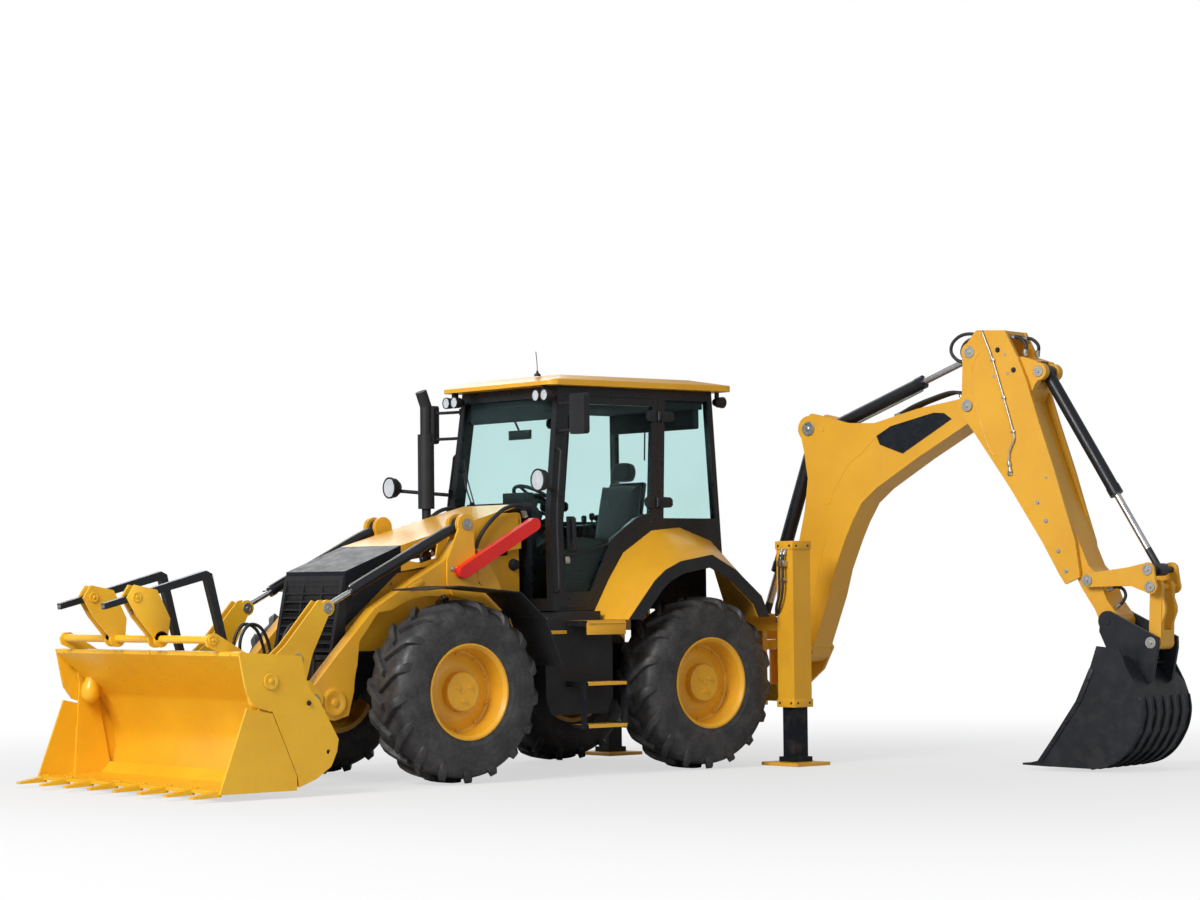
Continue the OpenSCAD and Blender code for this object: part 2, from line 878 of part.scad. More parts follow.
module lamps() {
    color([0.12, 0.12, 0.13])
        place()
            both_sides() {
                for (l = LAMPS)
                    translate([l[0], l[1], l[2]])
                        rotate([0, 90, l[3]])
                            rotate_extrude() lamp_section(l[4]);
                // stay of the lamp beside the hood, and brackets of the roof lamps
                on_cab_side(1160, 2040) cube([40, 8, 70]);
                stay([1180, cab_half(2040) + 5, 2070], [1500, 915, 2110], 14);
                // brackets under the roof
                translate([1160, 540, 2780]) cube([50, 20, cab_top - 2780]);
                translate([-540, 510, 2780]) cube([30, 20, cab_top - 2780]);
            }
}

module mirrors() {
    color([0.07, 0.07, 0.08])
        place()
            both_sides() {
                translate([1130, 830, 2470])
                    rotate([90, 0, 90]) linear_extrude(52) offset(24) translate([24, 24]) square([122, 246]);
                for (z = [2480, 2680]) {
                    on_cab_side(1075, z) cube([36, 8, 50]);
                    stay([1093, cab_half(z) + 5, z + 25], [1155, 860, z + 25], 12);
                }
            }
}

module lock_strut() {
    y = arm_out + 26.3;
    color([0.82, 0.06, 0.06])
        place()
            both_sides()
                slab(y, y + 62) {
                    disc_at([2000, 1479], 46);
                    disc_at([1360, 1820], 46);
                    polygon([[2022, 1520], [1382, 1861], [1338, 1779], [1978, 1438]]);
                }
}

// Loader

module arm_outline() {
    difference() {
        union() {
            polygon([
                [3260, 684], [3042, 914], [2730, 1227], [2392, 1417], [2120, 1560], [2005, 1720],
                [1990, 1850], [1880, 1840], [1885, 1640], [1950, 1400], [2060, 1320], [2132, 1317],
                [2394, 1239], [2700, 1200], [2860, 1000], [2895, 700], [2955, 490], [3060, 462], [3254, 536]
            ]);
            disc_at(p_lift, 75);
            disc_at(p_hinge, 75);
            disc_at(p_tube, 122);
            disc_at(p_ram_eye, 66);
        }
        disc_at(p_wheel, 668);
        disc_at(p_lift, lift_pin_r + pin_gap);
        disc_at(p_hinge, hinge_pin_r + pin_gap);
    }
}

module loader_arms() {
    color([0.93, 0.68, 0.13])
        place() {
            both_sides() {
                difference() {
                    slab(arm_y, arm_out) arm_outline();
                    // fork for the tilt cylinder's eye
                    slab(tilt_y - 40, tilt_y + 40)
                        union() {
                            disc_at(p_lift, 66);
                            polygon([[1850, 1950], [1850, 1770], [1990, 1712], [2200, 1600], [2200, 1950]]);
                        }
                }
                bar(p_tube, 100, arm_out - 1, arm_out + 8);
            }
            bar(p_tube, 96, -arm_y - 1, arm_y + 1);
        }
}

lift_span = dist(p_ram_base, p_ram_eye);
tilt_span = dist(p_lift, p_tilt);

module lift_barrels() {
    color([0.08, 0.08, 0.09])
        place() both_sides() between(p_ram_base, p_ram_eye, ram_y) barrel(815, 38, 24, 46, 60, 26);
}

module lift_rods() {
    color([0.8, 0.82, 0.84])
        place()
            both_sides()
                between(p_ram_base, p_ram_eye, ram_y)
                    rod(lift_span, 800, 24, 44, 50, 26, [-25, arm_y - ram_y - 0.3]);
}

module tilt_barrels() {
    color([0.08, 0.08, 0.09])
        place() both_sides() between(p_lift, p_tilt, tilt_y) barrel(1068, 33, 20, 54, 66, lift_pin_r);
}

module tilt_rods() {
    color([0.8, 0.82, 0.84])
        place()
            both_sides()
                between(p_lift, p_tilt, tilt_y)
                    rod(tilt_span, 1040, 20, 42, 52, 26, [-lever_gap + 0.3, lever_gap - 0.3]);
}

// Inner face of the bucket's back, from its top edge down to the clam
module back_profile() {
    difference() {
        polygon([
            [4256, 962], [4200, 966], [3860, 650], [3740, 420], [3720, 250], [3786, 70],
            [3800, 70], [3806, 140], [3775, 250], [3790, 400], [3900, 610], [4256, 936]
        ]);
        disc_at([0, 0], 1);
    }
}

module side_plate() {
    difference() {
        polygon([
            [4256, 962], [3770, 930], [3742, 790], [3695, 692], [3637, 641], [3479, 371], [3492, 290],
            [3539, 192], [3657, 114], [3792, 66], [3806, 140], [4000, 572], [4016, 569], [4130, 605],
            [4196, 690], [4216, 770]
        ]);
        for (h = [[3712, 609], [3560, 290]]) disc_at(h, 16);
    }
}

module lever_plate() {
    polygon([
        [3470, 985], [3195, 1290], [3085, 1239], [3247, 922], [3300, 740], [3330, 700], [3560, 330],
        [3760, 420], [3880, 650], [3900, 690], [3700, 800]
    ]);
    disc_at(p_tilt, 56);
}

module hinge_plate() {
    polygon([[3200, 660], [3290, 740], [3700, 800], [3880, 650], [3760, 420], [3600, 340], [3300, 555]]);
    disc_at(p_hinge, 72);
}

// Plates of the forks on their shaft
module fork_plate() {
    polygon([
        [4345, 1030], [4495, 1195], [4575, 1323], [4517, 1410], [4341, 1375], [4240, 1180], [4255, 1020]
    ]);
    disc_at(p_fork, 58);
}

module bucket_back() {
    in_y = bucket_y - bucket_t;
    color([0.93, 0.68, 0.13])
        place() {
            difference() {
                slab(-in_y, in_y) back_profile();
                // room for the clam's hangers
                both_sides() bar(p_clam, 148, in_y - 30, in_y + 1);
            }
            both_sides() {
                slab(in_y, bucket_y) side_plate();
                for (y = [tilt_y - lever_gap - 16, tilt_y + lever_gap])
                    slab(y, y + 16) lever_plate();
                for (y = [arm_y - 24, arm_out + 6])
                    slab(y, y + 18) hinge_plate();
                bar(p_hinge, hinge_pin_r, arm_y - 28, arm_out + 28);
                // bracket and end of the fork shaft
                slab(944, 968)
                    polygon([[4356, 1043], [4330, 1080], [4280, 1084], [4060, 958], [4240, 955], [4345, 1000]]);
                bar(p_clam, 38, in_y - 28, bucket_y + 6);
                slab(240, 262) fork_plate();
                bar(p_tine, 22, 236, 330);
            }
            bar(p_fork, 26, -970, 970);
        }
}

// The clam: floor, sides that hang from the pivots, and teeth
module jaw_side() {
    difference() {
        polygon([
            [3812, 46], [4401, 46], [4401, 62], [4197, 598], [4016, 560], [4002, 560], [3812, 138]
        ]);
        disc_at(p_clam, 206);
    }
}

module tooth() {
    intersection() {
        slab(-38, 38) polygon([[0, 0], [0, 44], [206, 8], [206, -6]]);
        linear_extrude(200, center = true) polygon([[0, -38], [206, -26], [206, 26], [0, 38]]);
    }
}

module clam_jaw() {
    in_y = bucket_y - bucket_t;
    pitch = 2 * (in_y - 44) / (bucket_teeth - 1);
    color([0.93, 0.68, 0.13])
        place() {
            slab(-in_y, in_y)
                polygon([
                    [3808, 46], [4401, 46], [4401, 70], [3910, 76], [3836, 150], [3812, 144]
                ]);
            both_sides() {
                slab(in_y, bucket_y) jaw_side();
                difference() {
                    slab(in_y - 24, in_y - 4)
                        union() {
                            polygon([[3836, 140], [3910, 70], [4120, 70], [4080, 740], [3960, 740]]);
                            disc_at(p_clam, 78);
                        }
                    bar(p_clam, 38 + pin_gap, in_y - 60, bucket_y + 10);
                }
                slab(in_y - 5, in_y + 1) polygon([[3836, 140], [3910, 70], [4120, 70], [4100, 400], [3950, 400]]);
            }
            for (i = [0 : bucket_teeth - 1])
                translate([tip_x - 206, -(in_y - 44) + i * pitch, 30]) tooth();
        }
}

// Folded forks: each hangs from the pin of its plate, over and behind the bucket
module forks() {
    color([0.1, 0.1, 0.11])
        place()
            both_sides()
                difference() {
                    slab(268, 318)
                        polygon([
                            [tine_x - 7, 1248], [tine_x, 1288], [3946, 1502], [3900, 1480], [3790, 1050],
                            [3668, 620], [3694, 612], [3838, 1040], [3950, 1440]
                        ]);
                    bar(p_tine, 22 + pin_gap, 200, 340);
                }
}

// Rear frame and stabilisers

module rear_frame() {
    color([0.93, 0.68, 0.13])
        place() {
            both_sides()
                translate([leg_x, leg_y, 0])
                    difference() {
                        translate([-column_w / 2, -column_w / 2, column_z])
                            cube([column_w, column_w, column_top - column_z]);
                        translate([-leg_w / 2 - slide_gap, -leg_w / 2 - slide_gap, column_z - 1])
                            cube([leg_w + 2 * slide_gap, leg_w + 2 * slide_gap, column_top - column_z - 20]);
                    }
            for (z = [480, 1010])
                translate([leg_x - 75, -leg_y + column_w / 2, z])
                    cube([110, 2 * leg_y - column_w, 130]);
            translate([leg_x + 5, -700, 560]) cube([30, 1400, 500]);
            both_sides() translate([leg_x + 35, rail_y - rail_t, rail_z + 10]) cube([29.7, rail_t, rail_h - 20]);
        }
}

module leg(side) {
    color([0.1, 0.1, 0.11])
        place()
            translate([leg_x, side * leg_y, 0]) {
                translate([-leg_w / 2, -leg_w / 2, 60]) cube([leg_w, leg_w, column_z + 500]);
                translate([-foot_l / 2, -foot_w / 2, 0]) cube([foot_l, foot_w, 26]);
                translate([-90, -90, 26]) cube([180, 180, 40]);
            }
}

// Carriage that shifts along the rear frame, with the ears of the swing axis
module carriage() {
    back = leg_x - 75 - slide_gap;
    color([0.93, 0.68, 0.13])
        place()
            translate([0, post_y, 0]) {
                translate([back - 50, -300, 440]) cube([50, 600, 740]);
                for (z = [440, 1141])
                    translate([back - 1, -300, z]) cube([110, 600, 39]);
                for (z = [470, 860])
                    difference() {
                        union() {
                            translate([post_x, 0, z]) cylinder(r = 104, h = 70);
                            translate([0, 0, z])
                                linear_extrude(70)
                                    polygon([
                                        [post_x, 104], [post_x + 200, 104], [back - 40, 260], [back - 40, -260],
                                        [post_x + 200, -104], [post_x, -104]
                                    ]);
                        }
                        translate([post_x, 0, z - 1]) cylinder(r = 45 + pin_gap, h = 80);
                    }
            }
}

module swing_post() {
    in_y = boom_y + side_gap;
    color([0.93, 0.68, 0.13])
        place_hoe() {
            translate([0, 0, 466]) cylinder(r = 45, h = 470);
            difference() {
                union() {
                    translate([0, 0, 546]) cylinder(r = 100, h = 308);
                    both_sides()
                        slab(in_y, in_y + cheek_t) {
                            polygon([[112, 546], [300, 700], [390, 870], [330, 960], [112, 960]]);
                            polygon([[112, 936], [330, 960], [200, 1010], [-110, 1160], [-220, 1100], [-230, 936]]);
                        }
                    slab(-in_y - 1, in_y + 1) polygon([[60, 546], [135, 546], [135, 720], [60, 720]]);
                    slab(-in_y - 1, in_y + 1) polygon([[-230, 936], [-30, 936], [-60, 966], [-230, 966]]);
                }
                bar(h_foot, 122, -boom_y - 5, boom_y + 5);
            }
            bar(h_foot, 34, -in_y - cheek_t - 6, in_y + cheek_t + 6);
        }
}

module boom_outline() {
    difference() {
        union() {
            polygon([
                [385, 868], [540, 1270], [600, 1480], [700, 1710], [765, 1840], [856, 1986], [989, 2092],
                [1362, 2310], [1830, 2560], [1780, 2745], [1369, 2684], [979, 2592], [735, 2602],
                [527, 2658], [390, 2690], [280, 2580], [321, 2412], [356, 2189], [323, 1936], [265, 1699],
                [205, 1250], [162, 930]
            ]);
            disc_at(h_foot, 116);
            disc_at(h_boom, 100);
            disc_at(h_stick, 92);
        }
        disc_at(h_foot, 34 + pin_gap);
        disc_at(h_stick, hoe_pin_r + pin_gap);
    }
}

module boom() {
    color([0.93, 0.68, 0.13])
        place_hoe() {
            difference() {
                slab(-boom_y, boom_y) boom_outline();
                // slot for the two cylinders that are pinned in it
                slab(-72, 72)
                    polygon([
                        [0, 1380], [230, 1400], [320, 1690], [390, 2000], [470, 2200], [560, 2420], [900, 2500],
                        [1400, 2800], [0, 2900]
                    ]);
            }
            bar(h_boom, 30, -boom_y - 5, boom_y + 5);
            bar(h_crowd, 28, -boom_y - 5, boom_y + 5);
        }
}

boom_span = dist(h_ram, h_boom);
crowd_span = dist(h_crowd, h_crowd_eye);
curl_span = dist(h_curl, h_rod);

module boom_barrel() {
    color([0.08, 0.08, 0.09]) place_hoe() between(h_boom, h_ram) barrel(1180, 54, 30, 54, 120, 30);
}

module boom_rod() {
    w = boom_y + side_gap - 0.3;
    color([0.8, 0.82, 0.84]) place_hoe() between(h_boom, h_ram) rod(boom_span, 1150, 30, 52, 120, 30, [-w, w]);
}

module stick_barrel() {
    color([0.08, 0.08, 0.09]) place_hoe() between(h_crowd, h_crowd_eye) barrel(930, 48, 27, 50, 110, 28);
}

module stick_rod() {
    w = boom_y + side_gap - 0.3;
    color([0.8, 0.82, 0.84])
        place_hoe() between(h_crowd, h_crowd_eye) rod(crowd_span, 900, 27, 46, 110, 26, [-w, w]);
}

module stick_outline() {
    polygon([
        [1902, 3222], [1925, 3246], [2170, 3231], [2269, 3041], [2346, 2859], [2449, 2537],
        [2572, 2180], [2653, 1914], [2734, 1662], [2766, 1436], [2768, 1394], [2647, 1345],
        [2600, 1413], [2461, 1654], [2192, 2065], [1881, 2497], [1790, 2610], [1790, 2750], [1806, 3110]
    ]);
    disc_at(h_stick, 90);
    disc_at(h_crowd_eye, 70);
}

module stick() {
    in_y = boom_y + side_gap;
    color([0.93, 0.68, 0.13])
        place_hoe() {
            both_sides() slab(in_y, in_y + cheek_t) stick_outline();
            slab(-in_y - 1, in_y + 1)
                polygon([[2192, 2065], [2461, 1654], [2600, 1413], [2625, 1430], [2486, 1671], [2217, 2082]]);
            slab(-in_y - 1, in_y + 1)
                polygon([[2040, 3239], [2160, 3231], [2170, 3205], [2040, 3213]]);
            bar(h_stick, hoe_pin_r, -in_y - cheek_t - 8, in_y + cheek_t + 8);
        }
}

module extension_outline() {
    polygon([
        [2150, 3030], [2300, 3030], [2420, 2990], [2470, 2900], [2400, 2820], [2340, 2700],
        [2600, 1990], [2820, 1480], [2900, 1400], [2965, 1230], [3050, 1120], [3050, 1040], [2930, 1020],
        [2870, 1157], [2760, 1320], [2640, 1560], [2400, 2180], [2180, 2800]
    ]);
    disc_at(h_bucket, 74);
    disc_at(h_idler, 70);
    disc_at(h_curl, 64);
}

module stick_extension() {
    color([0.93, 0.68, 0.13])
        place_hoe() {
            difference() {
                slab(-boom_y, boom_y) extension_outline();
                slab(-68, 68)
                    union() {
                        disc_at(h_curl, 84);
                        polygon([[2380, 2960], [2380, 2800], [2560, 2500], [2800, 2500], [2600, 3100]]);
                    }
                bar(h_bucket, hoe_pin_r + pin_gap, -200, 200);
            }
            // wear pads that slide on the stick's plates
            both_sides()
                slab(boom_y - 1, boom_y + side_gap - 0.3)
                    polygon([[2210, 3000], [2280, 3000], [2330, 2800], [2300, 2740], [2240, 2740]]);
            bar(h_curl, 26, -boom_y, boom_y);
            bar(h_idler, hoe_pin_r, -idler_y - 24, idler_y + 24);
        }
}

idler_y = boom_y + side_gap + cheek_t + side_gap;

module hoe_barrel() {
    color([0.08, 0.08, 0.09]) place_hoe() between(h_curl, h_rod) barrel(1080, 48, 26, 50, 110, 26);
}

module hoe_rod() {
    w = idler_y - 0.3;
    color([0.8, 0.82, 0.84])
        place_hoe() between(h_curl, h_rod) rod(curl_span, 1050, 26, 46, 110, 24, [-w, w]);
}

// Pair of links from the stick to the rod's eye and to the short link
module idler_links() {
    color([0.93, 0.68, 0.13])
        place_hoe() {
            both_sides()
                difference() {
                    slab(idler_y, idler_y + 22) {
                        disc_at(h_idler, 50);
                        disc_at(h_rod, 52);
                        disc_at(h_power, 52);
                        polygon([
                            [2837, 1420], [3180, 1462], [3330, 1494], [3386, 1440], [3404, 1320], [3352, 1270],
                            [3190, 1330], [2851, 1322]
                        ]);
                    }
                    bar(h_idler, hoe_pin_r + pin_gap, 0, 400);
                }
            bar(h_power, 24, -idler_y - 24, idler_y + 24);
        }
}

// Short link to the bucket, with the pin that runs between the bucket's ears
module power_link() {
    w = boom_y + side_gap - 0.3;
    color([0.93, 0.68, 0.13])
        place_hoe() {
            difference() {
                slab(-100, 100) {
                    disc_at(h_power, 48);
                    disc_at(h_ear, 50);
                    polygon([[3305, 1318], [3287, 920], [3383, 924], [3401, 1326]]);
                }
                bar(h_power, 24 + pin_gap, -200, 200);
                slab(-60, 60) polygon([[3200, 1420], [3200, 1010], [3500, 1010], [3500, 1420]]);
            }
            bar(h_ear, 24, -w, w);
        }
}

module bucket_side_outline() {
    polygon([
        [3018, 900], [2960, 740], [2844, 502], [2640, 222], [2519, 64], [2600, 30], [2958, 22],
        [3120, 62], [3240, 150], [3329, 290], [3362, 422], [3350, 540], [3314, 640], [3250, 760], [3200, 880]
    ]);
}

module hoe_bucket() {
    in_y = hoe_y - 18;
    ear_y = boom_y + side_gap;
    color([0.1, 0.1, 0.11])
        place_hoe() {
            both_sides() {
                slab(in_y, hoe_y) bucket_side_outline();
                slab(ear_y, ear_y + cheek_t) {
                    polygon([
                        [2930, 1120], [3040, 1130], [3390, 960], [3390, 880], [3340, 640], [3300, 640],
                        [3000, 830], [2920, 1000]
                    ]);
                    disc_at(h_bucket, 74);
                    disc_at(h_ear, 56);
                }
            }
            slab(-in_y - 1, in_y + 1)
                polygon([
                    [2519, 64], [2600, 30], [2958, 22], [3120, 62], [3240, 150], [3329, 290], [3362, 422],
                    [3350, 540], [3314, 640], [3240, 740], [3160, 830], [3010, 850], [3010, 824], [3146, 805],
                    [3216, 725], [3288, 630], [3322, 536], [3334, 424], [3302, 302], [3220, 170], [3108, 88],
                    [2956, 50], [2606, 58]
                ]);
            bar(h_bucket, hoe_pin_r, -ear_y - 36, ear_y + 36);
            for (i = [-2 : 2])
                translate([2620, i * 172, 34]) mirror([1, 0, 0]) rotate([0, -2, 0]) hoe_tooth();
        }
}

module hoe_tooth() {
    intersection() {
        slab(-32, 32) polygon([[0, -6], [0, 34], [236, 8], [236, -6]]);
        linear_extrude(200, center = true) polygon([[0, -32], [236, -20], [236, 20], [0, 32]]);
    }
}

frame();
front_frame();
engine();
axles();
grille();
hood();
exhaust();
side_tanks();
steps();
cab_frame();
roof();
cab_glass();
cab_seat();
console();
door(1);  // door_left
door(-1);  // door_right
door_glass(1);  // door_glass_left
door_glass(-1);  // door_glass_right
rear_fenders();
wheel_arches();
lamps();
mirrors();
lock_strut();
loader_arms();
lift_barrels();
lift_rods();
tilt_barrels();
tilt_rods();
bucket_back();
clam_jaw();
forks();
knuckle(1, 1);  // knuckle_front_left
knuckle(1, -1);  // knuckle_front_right
knuckle(0, 1);  // knuckle_rear_left
knuckle(0, -1);  // knuckle_rear_right
rim(1, 1);  // rim_front_left
rim(1, -1);  // rim_front_right
rim(0, 1);  // rim_rear_left
rim(0, -1);  // rim_rear_right
tyre(1, 1);  // tyre_front_left
tyre(1, -1);  // tyre_front_right
tyre(0, 1);  // tyre_rear_left
tyre(0, -1);  // tyre_rear_right
rear_frame();
leg(1);  // leg_left
leg(-1);  // leg_right
carriage();
swing_post();
boom();
boom_barrel();
boom_rod();
stick();
stick_barrel();
stick_rod();
stick_extension();
hoe_barrel();
hoe_rod();
idler_links();
power_link();
hoe_bucket();
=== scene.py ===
import math

import bmesh
import bpy
from mathutils import Matrix, Vector

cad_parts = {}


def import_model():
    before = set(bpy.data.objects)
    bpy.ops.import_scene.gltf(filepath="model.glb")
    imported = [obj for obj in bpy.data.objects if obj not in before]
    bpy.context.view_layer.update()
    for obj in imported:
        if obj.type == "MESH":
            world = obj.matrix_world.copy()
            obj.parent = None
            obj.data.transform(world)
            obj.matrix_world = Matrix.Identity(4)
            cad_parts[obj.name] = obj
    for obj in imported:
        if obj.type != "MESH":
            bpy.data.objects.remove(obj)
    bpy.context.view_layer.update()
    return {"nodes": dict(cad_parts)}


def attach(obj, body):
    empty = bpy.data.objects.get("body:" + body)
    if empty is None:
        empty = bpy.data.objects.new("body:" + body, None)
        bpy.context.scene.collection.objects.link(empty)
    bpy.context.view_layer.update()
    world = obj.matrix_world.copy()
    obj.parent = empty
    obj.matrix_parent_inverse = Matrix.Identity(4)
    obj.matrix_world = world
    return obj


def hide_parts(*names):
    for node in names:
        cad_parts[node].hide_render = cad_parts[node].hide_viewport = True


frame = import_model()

NODES = frame["nodes"]
MM = 0.001

# Places are written as in part.scad: millimetres from the rear axle, and for the hoe from its
# swing axis, and brought into the frame by at() and hoe().
MID_X, MID_Y = 1172.6436, 1216.8186
POST_X, POST_Y, SWING = -1320, 360, math.radians(78)

SIDES = (("left", 1), ("right", -1))
WHEELBASE, AXLE_Z, WHEEL_Y = 2240, 640, 820
WHEELS = [(end, x, side, s) for end, x in (("front", WHEELBASE), ("rear", 0)) for side, s in SIDES]
CORNERS = [f"{end}_{side}" for end, _, side, _ in WHEELS]

# faces and lines that several details share, as distances from the machine's middle or the hoe's
HUB_Y, NUT_Y, NUT_CIRCLE = 938, 856, 262
SIDE_PANEL_Y, TILT_Y, BUCKET_END_Y, COLUMN_Y = 328, 510, 1211, 1099
BOOM_Y, STICK_Y, PIPE_Y = 125, 161, 172


def at(x, y, z):
    return Vector(((x - MID_X) * MM, (y - MID_Y) * MM, z * MM))


def hoe(r, y, z):
    turn = math.pi - SWING
    x = r * math.cos(turn) - y * math.sin(turn)
    w = r * math.sin(turn) + y * math.cos(turn)
    return at(POST_X + x, POST_Y + w, z)


def both(*places):
    """Each place on the right and on the left."""
    return [(x, s * y, z) for x, y, z in places for s in (-1, 1)]


def mirrored(points, s):
    return [(x, s * y, z) for x, y, z in points]


def placed(name, data):
    """A new object in the scene."""
    obj = bpy.data.objects.new(name, data)
    bpy.context.scene.collection.objects.link(obj)
    return obj


# -------------------- node trees

class Tree:
    """A node tree with short calls."""

    def __init__(self, nt):
        self.nt = nt

    def new(self, kind, **values):
        n = self.nt.nodes.new("ShaderNode" + kind)
        for key, value in values.items():
            setattr(n, key, value)
        return n

    def link(self, a, b):
        self.nt.links.new(a, b)

    def math(self, kind, a, b):
        n = self.new("Math", operation=kind)
        for i, v in enumerate((a, b)):
            if isinstance(v, (int, float)):
                n.inputs[i].default_value = v
            else:
                self.link(v, n.inputs[i])
        return n.outputs[0]

    def direct(self, path):
        """1 for rays from the camera and through glass."""
        return self.math("MAXIMUM", path.outputs["Is Camera Ray"], path.outputs["Is Transmission Ray"])

    def blend(self, fac, a, b, out):
        """Mixes two shaders into an output node."""
        n = self.new("MixShader")
        self.link(fac, n.inputs["Fac"])
        self.link(a.outputs[0], n.inputs[1])
        self.link(b.outputs[0], n.inputs[2])
        self.link(n.outputs[0], out.inputs["Surface"])


class Nodes(Tree):
    """A material on the object's own coordinates."""

    def __init__(self, name):
        self.mat = bpy.data.materials.new(name)
        self.mat.use_nodes = True
        super().__init__(self.mat.node_tree)
        self.out = self.nt.nodes["Principled BSDF"]
        self.coord = self.new("TexCoord").outputs["Object"]

    def set(self, **values):
        for key, value in values.items():
            self.out.inputs[key.replace("_", " ")].default_value = value

    def noise(self, scale, detail=4, rough=0.55, stretch=None):
        n = self.new("TexNoise")
        n.inputs["Scale"].default_value = scale
        n.inputs["Detail"].default_value = detail
        n.inputs["Roughness"].default_value = rough
        if stretch:
            m = self.new("Mapping")
            m.inputs["Scale"].default_value = stretch
            self.link(self.coord, m.inputs["Vector"])
            self.link(m.outputs[0], n.inputs["Vector"])
        else:
            self.link(self.coord, n.inputs["Vector"])
        return n.outputs["Fac"]

    def ramp(self, value, low, high, a=0.0, b=1.0):
        n = self.new("MapRange")
        n.clamp = True
        for key, v in zip(("From Min", "From Max", "To Min", "To Max"), (low, high, a, b)):
            n.inputs[key].default_value = v
        self.link(value, n.inputs["Value"])
        return n.outputs[0]

    def mix(self, fac, a, b):
        n = self.new("Mix", data_type="RGBA")
        self.link(fac, n.inputs["Factor"])
        for i, v in ((6, a), (7, b)):
            if isinstance(v, tuple):
                n.inputs[i].default_value = (*v, 1)
            else:
                self.link(v, n.inputs[i])
        return n.outputs[2]

    def axis(self, name):
        n = self.new("SeparateXYZ")
        self.link(self.coord, n.inputs[0])
        return n.outputs[name]

    def beyond(self, value, edge, width=0.0008):
        """0 below an edge, 1 above it."""
        return self.ramp(value, edge - width, edge + width)

    def near(self, place, reach):
        """1 within reach of a place, 0 beyond it."""
        n = self.new("VectorMath", operation="DISTANCE")
        self.link(self.coord, n.inputs[0])
        n.inputs[1].default_value = place
        return self.ramp(n.outputs["Value"], reach * 0.98, reach, 1, 0)

    def color(self, socket):
        self.link(socket, self.out.inputs["Base Color"])

    def rough(self, socket):
        self.link(socket, self.out.inputs["Roughness"])

    def bump(self, height, strength, distance=0.002):
        n = self.new("Bump")
        n.inputs["Strength"].default_value = strength
        n.inputs["Distance"].default_value = distance
        self.link(height, n.inputs["Height"])
        self.link(n.outputs[0], self.out.inputs["Normal"])


EARTH = (0.22, 0.17, 0.11)
MASKED_SPEC, COAT_ROUGH = 0.12, 0.12


def painted(name, color, deep, dirt=EARTH, gloss=0.32, dust=0.25, mask=None, other=None, coat=0.2,
            spec=0.45):
    """Sprayed paint: cloudy tone, orange peel, dust that thickens towards the ground, and another,
    duller colour where the mask is 1."""
    m = Nodes(name)
    tone = m.mix(m.ramp(m.noise(2.2, 5), 0.35, 0.68), color, deep)
    if mask:
        tone = m.mix(mask(m), tone, other)
    grime = m.math("MULTIPLY", m.ramp(m.noise(9, 8, 0.65), 0.48, 0.78),
                   m.ramp(m.axis("Z"), 0.15, 1.5, dust, dust * 0.2))
    m.color(m.mix(grime, tone, dirt))
    m.rough(m.math("ADD", m.ramp(m.noise(14, 6), 0.3, 0.75, gloss, gloss + 0.16), grime))
    m.bump(m.math("ADD", m.noise(420, 2), m.math("MULTIPLY", m.noise(30, 4), 1.5)), 0.10, 0.0006)
    if mask:
        m.link(m.ramp(mask(m), 0, 1, spec, MASKED_SPEC), m.out.inputs["Specular IOR Level"])
        m.link(m.ramp(mask(m), 0, 1, coat, 0.0), m.out.inputs["Coat Weight"])
        m.set(Coat_Roughness=COAT_ROUGH)
    else:
        m.set(Coat_Weight=coat, Coat_Roughness=COAT_ROUGH, Specular_IOR_Level=spec)
    return m.mat


def rubber(name, color, dust):
    m = Nodes(name)
    patch = m.ramp(m.noise(7, 8, 0.7), 0.42, 0.75)
    fine = m.ramp(m.noise(70, 5, 0.7), 0.40, 0.80)
    both = m.math("MULTIPLY", m.math("ADD", patch, m.math("MULTIPLY", fine, 0.5)), dust)
    m.color(m.mix(both, color, (0.125, 0.118, 0.11)))
    m.rough(m.ramp(m.noise(25, 5), 0.3, 0.7, 0.42, 0.68))
    m.bump(m.math("ADD", m.noise(260, 4), m.noise(45, 5)), 0.30, 0.0015)
    m.set(Specular_IOR_Level=0.5)
    return m.mat


def steel(name, color, rough):
    m = Nodes(name)
    m.color(m.mix(m.ramp(m.noise(12, 5), 0.35, 0.7), color, tuple(c * 0.82 for c in color)))
    m.rough(m.ramp(m.noise(60, 4, 0.6, (1, 1, 8)), 0.3, 0.7, rough, rough + 0.14))
    m.bump(m.noise(500, 2), 0.05, 0.0003)
    m.set(Metallic=1.0)
    return m.mat


CHROME, CHROME_DEEP, EYE_BLACK = (0.66, 0.67, 0.68), (0.52, 0.53, 0.55), (0.018, 0.018, 0.02)


def rod_metal(name, places, reach):
    """Chromed rods, painted black within reach of their eyes."""
    m = Nodes(name)
    eyes = m.near(places[0], reach)
    for e in places[1:]:
        eyes = m.math("MAXIMUM", eyes, m.near(e, reach))
    bright = m.mix(m.ramp(m.noise(10, 5), 0.35, 0.7), CHROME, CHROME_DEEP)
    m.color(m.mix(eyes, bright, EYE_BLACK))
    m.link(m.math("SUBTRACT", 1.0, eyes), m.out.inputs["Metallic"])
    m.rough(m.math("ADD", m.math("MULTIPLY", eyes, 0.22), m.ramp(m.noise(12, 4), 0.3, 0.7, 0.20, 0.30)))
    m.bump(m.noise(30, 2), 0.03, 0.0003)
    return m.mat


def glass(name, color):
    m = Nodes(name)
    m.color(m.mix(m.ramp(m.noise(1.3, 3), 0.3, 0.7), color, tuple(c * 0.96 for c in color)))
    m.rough(m.ramp(m.noise(18, 6, 0.7), 0.5, 0.9, 0.0, 0.08))
    m.bump(m.noise(2.5, 2), 0.02, 0.001)
    m.set(Transmission_Weight=1.0, IOR=1.05, Specular_IOR_Level=0.6)
    return m.mat


THREADS = 160


